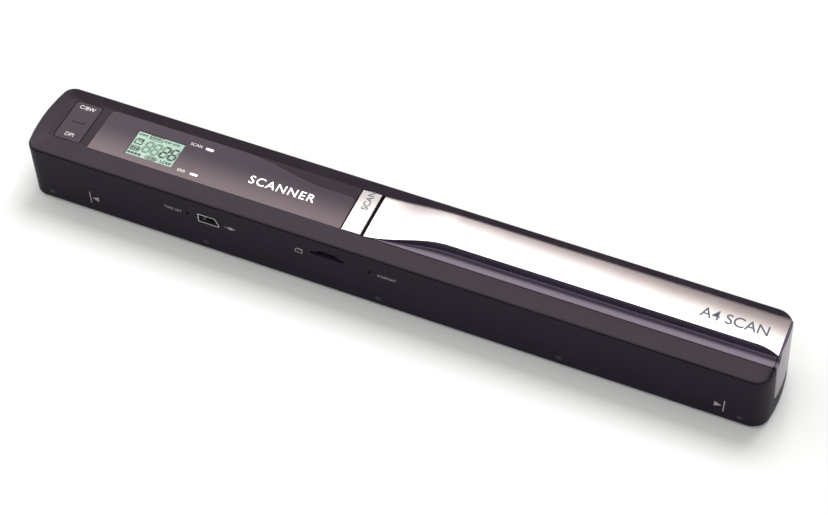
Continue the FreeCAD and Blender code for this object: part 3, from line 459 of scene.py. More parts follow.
def end_face_x(y, z):
    """Where the bowed, leaning end of the bar lies."""
    return END_X - END_LEAN * (z - FOOT_Z) - (END_BOW - math.sqrt(END_BOW ** 2 - y * y))


def loft_mesh(name, sections):
    """Closed, smooth skin through rings of equal length, with a face over each end."""
    form = bmesh.new()
    rings = [[form.verts.new(point) for point in section] for section in sections]
    skin_rings(form, rings)
    form.faces.new(rings[0][::-1])
    form.faces.new(rings[-1])
    mesh = form_mesh(form, name)
    smooth(mesh, SKIN_CREASE)
    return mesh


def tongue_rows():
    """Half width at each height of the end piece, from its foot up to the flat under the trim."""
    rows = []
    for step in range(13):
        turn = math.radians(90 * step / 12)
        rows.append((TONGUE_FOOT + TONGUE_CORNER * (1 - math.cos(turn)),
                     TONGUE_FOOT_HALF - TONGUE_CORNER * (1 - math.sin(turn))))
    start = TONGUE_FOOT + TONGUE_CORNER
    for step in range(1, 15):
        share = step / 14
        rows.append((start + (COVER_SHOULDER - start) * share,
                     TONGUE_FOOT_HALF + (COVER_HALF - TONGUE_FOOT_HALF) * share))
    section = cover_section(FLARE_START)
    flank = [(point.z, -point.y) for point in section[3:len(section) // 2]]
    return rows + flank


def tongue_ring(height, half, count=18):
    """One level of the end piece: outer face with rounded edges, then the inner face."""
    across = [-half, -half + TONGUE_ROUND * 0.3, -half + TONGUE_ROUND]
    across += [(-1 + 2 * step / count) * (half - TONGUE_ROUND) for step in range(1, count)]
    across += [half - TONGUE_ROUND, half - TONGUE_ROUND * 0.3, half]
    ring = []
    for y in across:
        edge = max(0.0, abs(y) - (half - TONGUE_ROUND)) / TONGUE_ROUND
        drop = TONGUE_ROUND * (1 - math.sqrt(max(0.0, 1 - edge * edge)))
        ring.append(Vector((end_face_x(y, height) - drop, y, height)))
    return ring + [Vector((end_face_x(y, height) - TONGUE_T, y, height)) for y in across[::-1]]


grip_gloss = surface("plum_blue_gloss", (0.0080, 0.0054, 0.0180), (0.0100, 0.0068, 0.0220), 0.27,
                     grain=1.4 * MM, bump=0.01, spread=0.02)
set_shader(grip_gloss, Specular_IOR_Level=1.0, Specular_Tint=(1.0, 0.84, 0.98, 1),
           Coat_Weight=0.25, Coat_Roughness=0.25, Coat_Tint=(1.0, 0.88, 0.98, 1))
cover_places = [GRIP_X + (RAMP[1] - GRIP_X) * step / 60 for step in range(61)]
cover_places += [RAMP[1] + (END_X - TONGUE_T - 1.2 * MM - RAMP[1]) * step / 30 for step in range(1, 31)]
cover_mesh = loft_mesh("grip_cover_skin", [cover_section(x) for x in cover_places])
cover = new_piece("grip_cover_skin", cover_mesh, grip_gloss, "case")
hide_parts("grip_cover")
tongue_mesh = loft_mesh("grip_tongue_skin", [tongue_ring(*row) for row in tongue_rows()])
tongue = new_piece("grip_tongue_skin", tongue_mesh, grip_gloss, "case")
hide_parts("grip_cover")


# ---- Silver trim --------------------------------------------------------------------------------
# A mirror-plated strip, slightly crowned, that runs up the ramp and along the top of the grip. Its
# edges roll over, and its front edge sweeps forward at the end of the bar.
CROWN = 0.22 * MM
EDGE_ROLL = 0.16 * MM
FLARE = 1.9 * MM


def grip_edges(x):
    """Front y, back y and height of the two creases of the grip's top face."""
    lift = ease((x - RAMP[0]) / (RAMP[1] - RAMP[0]))
    half = INLAY_HALF - SEAT_GAP + (GRIP_HALF - INLAY_HALF) * lift
    flare = FLARE * max(0.0, (x - FLARE_START) / (TRIM_END - FLARE_START)) ** 2
    return -half - min(flare, FLARE), half, DECK_Z + (GRIP_Z - DECK_Z) * lift


def trim_section(x, count=22):
    """Crowned top with rolled edges, then the flat underside, seen along the bar."""
    front, back, top = grip_edges(x)
    points = []
    for step in range(5):
        turn = math.radians(-90 + 22.5 * step)
        points.append((front + EDGE_ROLL * (1 + math.sin(turn)), top - EDGE_ROLL * (1 - math.cos(turn))))
    for step in range(1, count):
        share = step / count
        y = front + EDGE_ROLL + (back - front - 2 * EDGE_ROLL) * share
        points.append((y, top + CROWN * (1 - (2 * share - 1) ** 2)))
    for step in range(5):
        turn = math.radians(22.5 * step)
        points.append((back - EDGE_ROLL * (1 - math.sin(turn)), top - EDGE_ROLL * (1 - math.cos(turn))))
    low = top - TRIM_T + SEAT_GAP
    points += [(back, low), (front, low)]
    return [Vector((x, y, z)) for y, z in points]


def trim_places():
    """Places along the bar: close together on the ramp and at the flared end."""
    ramp_steps, run_steps, tail_steps = 90, 40, 40
    places = [GRIP_X + (RAMP[1] - GRIP_X) * step / ramp_steps for step in range(ramp_steps)]
    places += [RAMP[1] + (FLARE_START - RAMP[1]) * step / run_steps for step in range(run_steps)]
    places += [FLARE_START + (TRIM_END - FLARE_START) * step / tail_steps
               for step in range(tail_steps + 1)]
    return places


mirror_plate = surface("bright_silver_plate", (0.80, 0.77, 0.76), (0.86, 0.84, 0.83), 0.10,
                       grain=0.5 * MM, bump=0.006, spread=0.02)
set_shader(mirror_plate, Metallic=1.0)
trim_mesh = loft_mesh("silver_trim_skin", [trim_section(x) for x in trim_places()])
trim = new_piece("silver_trim_skin", trim_mesh, mirror_plate, "case")
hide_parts("silver_trim")

grey_ink = surface("slate_ink", (0.030, 0.033, 0.045), (0.042, 0.046, 0.060), 0.4, bump=0.02)


def on_top(mesh, x, y, z, turn=0.0):
    """Lays a flat mark face up at a place on the object, turned about the upright."""
    mesh.transform(Matrix.Translation((x, y, z)) @ Matrix.Rotation(math.radians(turn), 4, "Z"))
    return mesh


def over_crown(mesh):
    """Bends a flat mark down over the crowned trim."""
    for vert in mesh.vertices:
        vert.co.z += CROWN * (1 - (vert.co.y / GRIP_HALF) ** 2)
    return mesh


size_mesh = word_mesh("A4 SCAN", 3.8 * MM, 0.05 * MM, stroke_gain=0.006)
over_crown(on_top(size_mesh, 110.5 * MM, -1.0 * MM, GRIP_Z + 0.01 * MM))
new_piece("paper_size_print", size_mesh, grey_ink, "case")


# ---- Display window -----------------------------------------------------------------------------
# A smoked acrylic sheet let into the deck flush, its back edge stepping forward beside the button.
# The maker's place for a name carries a plain word, and two small words name the lights.
def painted_reflection_across(material, lightest_y, darkest_y, tint):
    """Painted reflection: the base colour blends evenly from its own tone at the back edge to a lighter tone
    at the front edge of a piece, standing in for the brighter reflection there.
    """
    tree = material.node_tree
    shader = tree.nodes["Principled BSDF"]
    colour = shader.inputs["Base Color"].links[0].from_socket
    parts = add_node(tree, "SeparateXYZ")
    depth = add_node(tree, "MapRange", From_Min=darkest_y, From_Max=lightest_y)
    depth.interpolation_type = "SMOOTHSTEP"
    blend = add_node(tree, "Mix")
    blend.data_type = "RGBA"
    colours = [socket for socket in blend.inputs if socket.type == "RGBA"]
    colours[1].default_value = (*tint, 1)
    links = tree.links
    links.new(tree.nodes["Texture Coordinate"].outputs["Object"], parts.inputs[0])
    links.new(parts.outputs["Y"], depth.inputs["Value"])
    links.new(depth.outputs["Result"], blend.inputs["Factor"])
    links.new(colour, colours[0])
    links.new(next(o for o in blend.outputs if o.type == "RGBA"), shader.inputs["Base Color"])


smoked = surface("smoked_acrylic_painted_reflection", (0.006, 0.003, 0.008), (0.008, 0.004, 0.010), 0.10,
                 grain=2.0 * MM, bump=0.006, spread=0.02)
set_shader(smoked, Specular_IOR_Level=0.42, Specular_Tint=(1.0, 0.86, 0.96, 1))
# Painted reflection: the window's colour lightens towards its front edge, standing in for the bright room
# reflected there.
painted_reflection_across(smoked, -9.4 * MM, 4.0 * MM, (0.060, 0.045, 0.047))
finish_nodes(smoked, "display_window")

white_ink = surface("white_ink", (0.74, 0.73, 0.73), (0.82, 0.81, 0.80), 0.5, bump=0.02)
dim_ink = surface("dim_white_ink", (0.33, 0.31, 0.31), (0.40, 0.38, 0.375), 0.55, bump=0.02)


def deck_print(name, words, height, x, y, body="case", z=DECK_Z, material=dim_ink, spacing=1.0,
               stroke_gain=0.0):
    mesh = word_mesh(words, height * MM, INK_T, spacing, stroke_gain)
    on_top(mesh, x * MM, y * MM, z + INK_T / 4)
    new_piece(name, mesh, material, body)


deck_print("name_print", "SCANNER", 3.3, -40.0, -1.0, "case", DECK_Z, white_ink, 1.16, 0.004)
deck_print("scan_light_print", "SCAN", 1.15, -74.0, 5.5)
deck_print("error_light_print", "ERR", 1.15, -73.6, -6.3)


# ---- Liquid crystal display ---------------------------------------------------------------------
# Pale green reflective glass in its frame, flush in the window. Its segments are thin films on the
# top face: a row of captions, a card and a battery at the left, and a large count.
LCD_TOP = 25.3 * MM
LCD_X = (-94.5 * MM, -77.2 * MM)
LCD_Y = (-6.6 * MM, 4.3 * MM)
SEGMENT_T = 0.02 * MM
DIGIT_X = [LCD_X[0] + offset * MM for offset in (4.7, 7.8, 11.0, 14.1)]
DIGIT_Y = LCD_Y[0] + 3.0 * MM
DIGIT_W = 2.15 * MM
DIGIT_H = 4.6 * MM
DIGIT_LEAN = 0.12
BAR_W = 0.80 * MM
BAR_GAP = 0.06 * MM
LINE_W = 0.26 * MM
LETTER_PITCH = 0.62
ROUND_STEPS = 28

lcd_green = surface("pale_green_lcd", (0.136, 0.205, 0.163), (0.164, 0.240, 0.190), 0.30,
                    grain=0.6 * MM, bump=0.01, patch=5 * MM)
set_shader(lcd_green, Coat_Weight=0.4, Coat_Roughness=0.08)
finish_nodes(lcd_green, "lcd_glass")
segment_dark = surface("dark_segment", (0.010, 0.014, 0.013), (0.014, 0.019, 0.017), 0.35, bump=0.01)
segment_ghost = surface("ghost_segment", (0.056, 0.088, 0.069), (0.066, 0.102, 0.080), 0.35, bump=0.01)
frame_white = surface("white_frame_plastic", (0.72, 0.72, 0.70), (0.80, 0.80, 0.78), 0.45)
finish_nodes(frame_white, "lcd_frame")


def segment_bar(start, end, width):
    """One bar of a digit, pointed at both ends."""
    inset = (end - start).normalized() * width / 2
    inner = stroke(start + inset, end - inset, width)
    return [tuple(start), *inner[:2], tuple(end), *inner[2:]]


def digit_bars(x, lit):
    """Seven-bar digit with its left edge at x; `lit` names the bars a to g."""
    right, top, middle = DIGIT_W, DIGIT_H, DIGIT_H / 2
    ends = {"a": ((0, top), (right, top)), "b": ((right, top), (right, middle)),
            "c": ((right, middle), (right, 0)), "d": ((0, 0), (right, 0)),
            "e": ((0, middle), (0, 0)), "f": ((0, top), (0, middle)),
            "g": ((0, middle), (right, middle))}
    bars = []
    for name in lit:
        start, end = (Vector(p) for p in ends[name])
        along = (end - start).normalized() * BAR_GAP
        corners = segment_bar(start + along, end - along, BAR_W)
        bars.append([(x + px + DIGIT_LEAN * py, DIGIT_Y + py) for px, py in corners])
    return bars


def frame_strokes(x, y, width, height, line):
    """Rectangle drawn as four strokes."""
    return outline_strokes(rectangle(x, y, width, height), line)


def full_turn(count):
    """Points evenly spaced round a circle of radius 1."""
    turns = [2 * math.pi * step / count for step in range(count)]
    return [(math.cos(turn), math.sin(turn)) for turn in turns]


def oval(x, y, width, height, line):
    """Flat ring drawn as short strokes."""
    points = [(x + width / 2 * px, y + height / 2 * py) for px, py in full_turn(ROUND_STEPS)]
    return outline_strokes(points, line)


def lcd_piece(name, outlines, material):
    mesh = on_top(plates_mesh(outlines, SEGMENT_T), 0, 0, LCD_TOP + SEGMENT_T / 4)
    new_piece(name, mesh, material, "case")


def lcd_captions():
    """Captions along the top, each a strip of strokes as close as letters, the second one boxed."""
    left = LCD_X[0]
    top = LCD_Y[1] - 1.25 * MM
    marks = []
    for start, length in ((0.9, 3.2), (5.0, 4.2), (10.2, 2.2), (13.3, 2.6)):
        for index in range(round(length / LETTER_PITCH)):
            x = left + (start + LETTER_PITCH * index) * MM
            marks += [stroke((x, top - 0.42 * MM), (x, top + 0.42 * MM), 0.30 * MM),
                      stroke((x, top + (0.35 if index % 2 else -0.35) * MM),
                             (x + 0.42 * MM, top + (0.35 if index % 3 else 0.0) * MM), 0.22 * MM)]
    marks += frame_strokes(left + 7.1 * MM, top, 4.7 * MM, 1.6 * MM, 0.22 * MM)
    return marks


def lcd_icons():
    """Memory card above a battery gauge, in the left column."""
    x = LCD_X[0] + 2.2 * MM
    card_y = LCD_Y[0] + 6.6 * MM
    cell_y = LCD_Y[0] + 3.4 * MM
    corners = [(-1.3, -1.15), (1.3, -1.15), (1.3, 1.15), (-0.5, 1.15), (-1.3, 0.5)]
    marks = outline_strokes([(x + px * MM, card_y + py * MM) for px, py in corners], 0.42 * MM)
    marks += [rectangle(x + px * MM, card_y + 0.45 * MM, 0.4 * MM, 0.9 * MM) for px in (-0.25, 0.4, 1.0)]
    marks += frame_strokes(x, cell_y, 2.9 * MM, 1.8 * MM, 0.34 * MM)
    marks += [rectangle(x + px * MM, cell_y, 0.62 * MM, 1.1 * MM) for px in (-0.85, 0.0, 0.85)]
    marks.append(rectangle(x + 1.65 * MM, cell_y, 0.35 * MM, 0.7 * MM))
    return marks


ghost_bars = [bar for x, lit in zip(DIGIT_X, ("abcdefg", "abcdefg", "fc", "b")) for bar in digit_bars(x, lit)]
count_bars = [bar for x, lit in zip(DIGIT_X[2:], ("abged", "acdefg")) for bar in digit_bars(x, lit)]
foot_y = LCD_Y[0] + 1.3 * MM
foot_marks = oval(LCD_X[0] + 9.2 * MM, foot_y, 4.4 * MM, 1.6 * MM, LINE_W)
foot_marks += [rectangle(LCD_X[0] + x * MM, foot_y, 0.55 * MM, 0.9 * MM) for x in (8.1, 8.9, 9.7, 10.4)]
foot_marks += [rectangle(LCD_X[0] + x * MM, foot_y, 1.0 * MM, 0.9 * MM) for x in (1.1, 2.35, 3.6, 4.85)]
border = frame_strokes(sum(LCD_X) / 2, sum(LCD_Y) / 2, LCD_X[1] - LCD_X[0] - 0.3 * MM,
                       LCD_Y[1] - LCD_Y[0] - 0.3 * MM, LINE_W)
lcd_piece("lcd_border_line", border, segment_dark)
lcd_piece("lcd_ghost_segments", ghost_bars, segment_ghost)
lcd_piece("lcd_count_segments", count_bars, segment_dark)
lcd_piece("lcd_caption_segments", lcd_captions(), segment_dark)
lcd_piece("lcd_icon_segments", lcd_icons() + foot_marks, segment_dark)
low_mesh = on_top(word_mesh("LOW", 1.35 * MM, SEGMENT_T, 1.0, 0.045), LCD_X[1] - 2.7 * MM, foot_y,
                  LCD_TOP + SEGMENT_T / 4)
new_piece("lcd_low_segments", low_mesh, segment_dark, "case")


# ---- Status lights ------------------------------------------------------------------------------
# Two smoked acrylic light pipes, polished flush with the window over small chip lights on the frame. A thin
# white slot with round ends marks each one; the slots are given a faint painted glow, though the chip lights
# are not lit.
LIGHT_X = -69.1 * MM
LIGHT_Y = (5.3 * MM, -6.4 * MM)
LIGHT_SIZE = (2.8 * MM, 0.9 * MM)

pipe_smoke = surface("smoked_light_pipe", (0.060, 0.050, 0.054), (0.080, 0.068, 0.070), 0.15,
                     grain=0.8 * MM, bump=0.02, patch=1.2 * MM)
finish_nodes(pipe_smoke, "light_pipes")
finish_nodes(frame_white, "status_leds")
painted_glow_white = surface("painted_glow_slot", (0.50, 0.47, 0.46), (0.66, 0.63, 0.61), 0.30, bump=0.02, patch=1.0 * MM)
# Painted glow: the white slot prints give off a faint light of their own, though the chip lights under them
# are not lit.
set_shader(painted_glow_white, Emission_Color=(1.0, 0.96, 0.92, 1), Emission_Strength=0.06)


def lozenge(x, y, width, height, count=10):
    """Flat bar with half-round ends."""
    radius = height / 2
    reach = width / 2 - radius
    turns = [math.pi * (step / count - 0.5) for step in range(count + 1)]
    right = [(x + reach + radius * math.cos(turn), y + radius * math.sin(turn)) for turn in turns]
    return right + [(2 * x - px, 2 * y - py) for px, py in right]


glow_slot_mesh = plates_mesh([lozenge(LIGHT_X, y, *LIGHT_SIZE) for y in LIGHT_Y])
new_piece("painted_glow_slots", on_top(glow_slot_mesh, 0, 0, DECK_Z + INK_T / 4), painted_glow_white, "case")


# ---- Scan button --------------------------------------------------------------------------------
# A plate as wide as the inlay in brushed silver, on one stem over its switch. Its name is printed
# dark across the back half.
BUTTON_X = (-15.8 * MM, -9.0 * MM)


def brushed(name, dark, light, roughness, stretch=(1.0, 40.0, 1.0)):
    """Brushed metal: long fine scratches along one direction."""
    material = surface(name, dark, light, roughness, grain=0.12 * MM, bump=0.10)
    tree = material.node_tree
    squeeze = add_node(tree, "Mapping", Scale=[1.0 / part for part in stretch])
    for texture in [n for n in tree.nodes if n.bl_idname == "ShaderNodeTexNoise"]:
        tree.links.new(squeeze.outputs["Vector"], texture.inputs["Vector"])
    tree.links.new(tree.nodes["Texture Coordinate"].outputs["Object"], squeeze.inputs["Vector"])
    return set_shader(material, Metallic=1.0)


BUTTON_RISE = 0.25 * MM
button_silver_painted_reflection = brushed("brushed_silver_painted_reflection", (0.34, 0.31, 0.31), (0.42, 0.39, 0.385), 0.24)
# Painted reflection: the plate's colour lightens towards its front edge, standing in for the bright room
# reflected there; the brushing itself is the plate's own finish.
painted_reflection_across(button_silver_painted_reflection, -1.0 * MM, 8.6 * MM, (0.62, 0.60, 0.59))
finish_nodes(button_silver_painted_reflection, "scan_button")
scan_mesh = on_top(word_mesh("SCAN", 2.3 * MM, stroke_gain=0.012), -12.3 * MM, 5.0 * MM, DECK_Z, 90)
for vert in scan_mesh.vertices:
    vert.co.z += BUTTON_RISE * (vert.co.x - BUTTON_X[0]) / (BUTTON_X[1] - BUTTON_X[0]) + INK_T / 3
new_piece("scan_button_letters", scan_mesh, grey_ink, "scan_button")


# ---- Mode key -----------------------------------------------------------------------------------
# A rocker in gunmetal ABS, a little lighter than the deck, in a thin gap, swinging on its pin.
# One end picks colour or black and white, the other the resolution.
key_satin = surface("key_gunmetal", (0.013, 0.009, 0.013), (0.017, 0.012, 0.016), 0.34,
                    grain=0.18 * MM, bump=0.08)
set_shader(key_satin, Specular_IOR_Level=0.32, Specular_Tint=(1.0, 0.84, 0.94, 1))
finish_nodes(key_satin, "mode_key")
KEY_TOP = DECK_Z + 0.05 * MM
KEY_MIDDLE = -114.95
deck_print("colour_key_print", "C/BW", 1.55, KEY_MIDDLE, 6.3, "mode_key", KEY_TOP)
deck_print("resolution_key_print", "DPI", 1.5, KEY_MIDDLE, -6.2, "mode_key", KEY_TOP)


# ---- Sockets in the front wall ------------------------------------------------------------------
# A mini-B socket in a bent tin can with five sprung contacts on a black tongue, and a card socket
# behind its slit. Two small plungers stand behind the pin holes.
LIP_WIDTH = 0.26 * MM
LIP_T = 0.16 * MM
LIP_SINK = 0.06 * MM
USB_TONGUE_Y = -12.4 * MM
CARD_CONTACT_YZ = (-9.0 * MM, 16.4 * MM)

tin = brushed("bright_tin", (0.62, 0.61, 0.60), (0.74, 0.73, 0.72), 0.25, (12.0, 1.0, 1.0))
gold = surface("gold_contact", (0.80, 0.58, 0.26), (0.88, 0.66, 0.32), 0.25, bump=0.02)
set_shader(gold, Metallic=1.0)
black_plastic = surface("black_plastic", (0.010, 0.010, 0.011), (0.016, 0.016, 0.017), 0.5)
finish_nodes(tin, "usb_socket", "card_socket")
finish_nodes(black_plastic, "time_set_plunger", "format_plunger")


def strip_boxes(places, size, round_off=0.08):
    """Small blocks with broken edges, one for each (x, y, z) middle."""
    form = bmesh.new()
    for middle in places:
        made = bmesh.ops.create_cube(form, size=1.0)
        bmesh.ops.scale(form, verts=made["verts"], vec=size)
        bmesh.ops.translate(form, verts=made["verts"], vec=middle)
        edges = list({edge for vert in made["verts"] for edge in vert.link_edges})
        bmesh.ops.bevel(form, geom=edges, offset=min(size) * round_off, segments=1,
                        profile=0.5, affect="EDGES")
    return form_mesh(form, "strips")


def usb_lip():
    """Bright rolled lip round the socket's mouth: one slanted shoulder, like the plug."""
    left, right, low, high = -64.1 * MM, -56.8 * MM, 14.0 * MM, 17.5 * MM
    corners = [(left, low), (right, low), (right, low + 1.0 * MM), (right - 1.3 * MM, high), (left, high)]
    middle = Vector((left + right, low + high)) / 2
    return outline_strokes([tuple(Vector(corner) - middle) for corner in corners], LIP_WIDTH), middle


lip_outlines, lip_middle = usb_lip()
lip_mesh = on_front_wall(plates_mesh(lip_outlines, LIP_T), lip_middle.x, lip_middle.y)
lip_mesh.transform(Matrix.Translation((0, LIP_SINK, 0)))
new_piece("usb_lip", lip_mesh, tin, "case")
usb_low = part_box("usb_socket")[0]
sleeve = strip_boxes([(usb_low.x + 3.45 * MM, USB_TONGUE_Y, usb_low.z + 1.62 * MM)],
                     (3.9 * MM, 2.4 * MM, 0.9 * MM))
new_piece("usb_tongue_sleeve", sleeve, black_plastic, "case")
usb_contacts = [(usb_low.x + (2.1 + 0.67 * step) * MM, USB_TONGUE_Y, usb_low.z + 2.1 * MM)
                for step in range(5)]
new_piece("usb_contacts", strip_boxes(usb_contacts, (0.35 * MM, 2.6 * MM, 0.12 * MM)),
          gold, "case")
card_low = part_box("card_socket")[0]
card_contacts = [(card_low.x + (2.2 + 1.15 * step) * MM, *CARD_CONTACT_YZ) for step in range(8)]
new_piece("card_contacts", strip_boxes(card_contacts, (0.55 * MM, 5.0 * MM, 0.2 * MM)),
          gold, "case")


# ---- Pins, screws and shafts --------------------------------------------------------------------
# Ground steel: the key's pin, the door's hinge pin, the roller shafts and the encoder's axle, all
# drawn rod cut to length, and the cross-headed screws of the deck and the main board.
steel = brushed("ground_steel", (0.42, 0.42, 0.43), (0.55, 0.55, 0.56), 0.22, (14.0, 1.0, 1.0))
zinc = surface("zinc_plate", (0.44, 0.45, 0.47), (0.56, 0.57, 0.58), 0.32, grain=0.4 * MM, bump=0.05)
set_shader(zinc, Metallic=1.0)
finish_nodes(steel, "key_pin", "door_pin", "front_shaft", "rear_shaft", "encoder_axle")
finish_nodes(zinc, "deck_screws", "board_screws")


# ---- Circuit boards -----------------------------------------------------------------------------
# Glass-fibre boards under green solder resist, with copper tracks showing through it: the main
# board, the two switch boards and the long board on the sensor's back.
TRACK = 0.9 * MM
BOARD_TOP = 15.4 * MM
CHIP_PIN = (0.22 * MM, 1.0 * MM, 0.30 * MM)
PART_COUNT = 34
PART_GRID = (1.6 * MM, 1.4 * MM)


def board_finish():
    """Green resist over copper tracks: a fine brick pattern, lighter along the tracks."""
    material = surface("green_solder_resist", (0.010, 0.085, 0.030), (0.014, 0.105, 0.040), 0.28, bump=0.02)
    tree = material.node_tree
    shader = tree.nodes["Principled BSDF"]
    base = shader.inputs["Base Color"].links[0].from_socket
    tracks = add_node(tree, "TexBrick", Scale=metres(TRACK) / 4, Mortar_Size=0.055, Mortar_Smooth=0.2,
                      Color1=(0.008, 0.070, 0.025, 1), Mortar=(0.030, 0.190, 0.060, 1))
    tree.links.new(tree.nodes["Texture Coordinate"].outputs["Object"], tracks.inputs["Vector"])
    tree.links.new(base, tracks.inputs["Color2"])
    tree.links.new(tracks.outputs["Color"], shader.inputs["Base Color"])
    set_shader(material, Coat_Weight=0.5, Coat_Roughness=0.15)
    return material


board_green = board_finish()
finish_nodes(board_green, "main_board", "key_board", "scan_board", "sensor_board")
chip_black = surface("moulded_chip_epoxy", (0.012, 0.012, 0.013), (0.020, 0.020, 0.021), 0.55,
                     grain=0.12 * MM, bump=0.2)
finish_nodes(chip_black, "processor_chip", "memory_chip", "reset_switches", "encoder_sensor")
finish_nodes(tin, "clock_crystal")
finish_nodes(black_plastic, "tact_switches")


def chip_pins(node, pitch, all_round):
    """Gull-wing pins along a chip's two long sides, or along all four."""
    low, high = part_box(node)
    blocks = [(step * pitch, side) for side in (-1, 1)
              for step in range(-int((high.y - low.y) / pitch / 2) + 1, int((high.y - low.y) / pitch / 2))]
    middle = (low + high) / 2
    z = BOARD_TOP + CHIP_PIN[2] / 2
    sides = [(middle.x + side * ((high.x - low.x) / 2 + CHIP_PIN[1] / 2), middle.y + along, z)
             for along, side in blocks]
    mesh = strip_boxes(sides, (CHIP_PIN[1], CHIP_PIN[0], CHIP_PIN[2]))
    new_piece(node + "_side_pins", mesh, tin, "case")
    if all_round:
        ends = [(middle.x + along, middle.y + side * ((high.y - low.y) / 2 + CHIP_PIN[1] / 2), z)
                for along, side in blocks]
        new_piece(node + "_end_pins", strip_boxes(ends, CHIP_PIN), tin, "case")


chip_pins("processor_chip", 0.8 * MM, True)
chip_pins("memory_chip", 1.2 * MM, False)
random.seed(11)
part_places = {"resistors": [], "capacitors": []}
for step in range(PART_COUNT):
    x = random.choice((random.uniform(-93, -72), random.uniform(-25, -12))) * MM
    y = random.uniform(3.5, 9.0) * MM if x > -60 * MM else random.uniform(-5.0, 9.0) * MM
    kind = "resistors" if step % 2 else "capacitors"
    part_places[kind].append((round(x / PART_GRID[0]) * PART_GRID[0], round(y / PART_GRID[1]) * PART_GRID[1]))
ceramic = surface("tan_ceramic", (0.30, 0.20, 0.11), (0.38, 0.26, 0.15), 0.4, bump=0.04)
for kind, material, height in (("resistors", chip_black, 0.45), ("capacitors", ceramic, 0.7)):
    tops = [(x, y, BOARD_TOP + height / 2 * MM) for x, y in sorted(set(part_places[kind]))]
    blocks = strip_boxes(tops, (0.9 * MM, 0.75 * MM, height * MM))
    new_piece("board_" + kind, blocks, material, "case")
    ends = [(x + side * 0.5 * MM, y, z) for x, y, z in tops for side in (-1, 1)]
    caps = strip_boxes(ends, (0.25 * MM, 0.8 * MM, height * 1.05 * MM))
    new_piece("board_%s_caps" % kind, caps, tin, "case")


# ---- Ribbon cable -------------------------------------------------------------------------------
# Flat flexible cable between the sensor board and the main board: white film over flat copper
# strips, which show as fine lines along it.
def striped(name, film, line, pitch):
    """Film over a row of flat strips side by side along X."""
    material = surface(name, film, film, 0.35, bump=0.02)
    tree = material.node_tree
    strips = add_node(tree, "TexWave", Scale=metres(pitch) / 20 * math.pi)
    shades = add_node(tree, "ValToRGB")
    set_tones(shades, ((0.0, line), (0.4, film)))
    tree.links.new(tree.nodes["Texture Coordinate"].outputs["Object"], strips.inputs["Vector"])
    tree.links.new(strips.outputs["Fac"], shades.inputs["Fac"])
    tree.links.new(shades.outputs["Color"], tree.nodes["Principled BSDF"].inputs["Base Color"])
    return material


finish_nodes(striped("ribbon_film", (0.70, 0.69, 0.64), (0.45, 0.42, 0.36), 1.0 * MM), "ribbon_cable")


# ---- Base plate ---------------------------------------------------------------------------------
# Black ABS plate that closes the underside, held by five snap studs a side that show as small round
# marks in the walls. Windows in it leave the sensor glass and the four tyres free.
base_black = surface("textured_black_abs", (0.0085, 0.0075, 0.0100), (0.0120, 0.0105, 0.0140), 0.50,
                     grain=0.35 * MM, bump=0.18)
finish_nodes(base_black, "base_plate")
STUD_X = (-120.3, -62.6, -0.9, 60.6, 119.7)
STUD_Z = 3.6 * MM
STUD_R = 1.22 * MM
STUD_BORE = 1.06 * MM
STUD_RISE = 0.03 * MM


def band_mesh(name, bands):
    """Closed bands, each given as the loops of points that follow its section round."""
    form = bmesh.new()
    for loops in bands:
        rings = [[form.verts.new(point) for point in loop] for loop in loops]
        skin_rings(form, rings + rings[:1])
    return form_mesh(form, name)


def stud_ring(x, side):
    """Loops of a flat ring standing on the front or back wall, facing out."""
    y = side * (wall_half(STUD_Z) - 0.02 * MM)
    profile = ((STUD_R, 0.0), (STUD_R, STUD_RISE), (STUD_BORE, STUD_RISE), (STUD_BORE, 0.0))
    return [[(x + radius * across, y + side * out, STUD_Z + radius * up)
             for across, up in full_turn(ROUND_STEPS)] for radius, out in profile]


stud_rings = band_mesh("rings", [stud_ring(x * MM, side) for x in STUD_X for side in (-1, 1)])
new_piece("stud_rings", stud_rings, lower_satin, "case")


# ---- Contact image sensor -----------------------------------------------------------------------
# A black housing under a clear cover glass. A light bar shines along one side of the slot, and a
# long row of rod lenses beside it looks down at the page.
def clear_finish(name, tint, roughness, transmission, ior):
    material = surface(name, tint, tint, roughness, bump=0.01, spread=0.01)
    return set_shader(material, Transmission_Weight=transmission, IOR=ior)


finish_nodes(clear_finish("cover_glass", (0.86, 0.94, 0.92), 0.03, 0.9, 1.5), "sensor_glass")
finish_nodes(clear_finish("light_bar_acrylic", (0.80, 0.88, 0.82), 0.25, 0.35, 1.49), "sensor_light_bar")
finish_nodes(black_plastic, "sensor_housing")
finish_nodes(chip_black, "rod_lens_array")
LENS_PITCH = 1.2 * MM
LENS_RADII = (0.42 * MM, 0.34 * MM)
LENS_DEPTH = 0.12 * MM


def rod_lenses():
    """Ends of the rod lenses: a row of low cones under the array, narrow end down."""
    low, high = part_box("rod_lens_array")
    form = bmesh.new()
    for step in range(int((high.x - low.x) / LENS_PITCH)):
        made = bmesh.ops.create_cone(form, cap_ends=True, segments=10, radius1=LENS_RADII[0],
                                     radius2=LENS_RADII[1], depth=LENS_DEPTH)
        place = (low.x + LENS_PITCH * (step + 0.5), (low.y + high.y) / 2, low.z - 0.02 * MM)
        bmesh.ops.rotate(form, verts=made["verts"], matrix=Matrix.Rotation(math.pi, 3, "X"))
        bmesh.ops.translate(form, verts=made["verts"], vec=place)
    return form_mesh(form, "rod_lenses")


lens_glass = clear_finish("lens_glass", (0.55, 0.66, 0.75), 0.06, 0.4, 1.6)
new_piece("rod_lenses", rod_lenses(), lens_glass, "case")


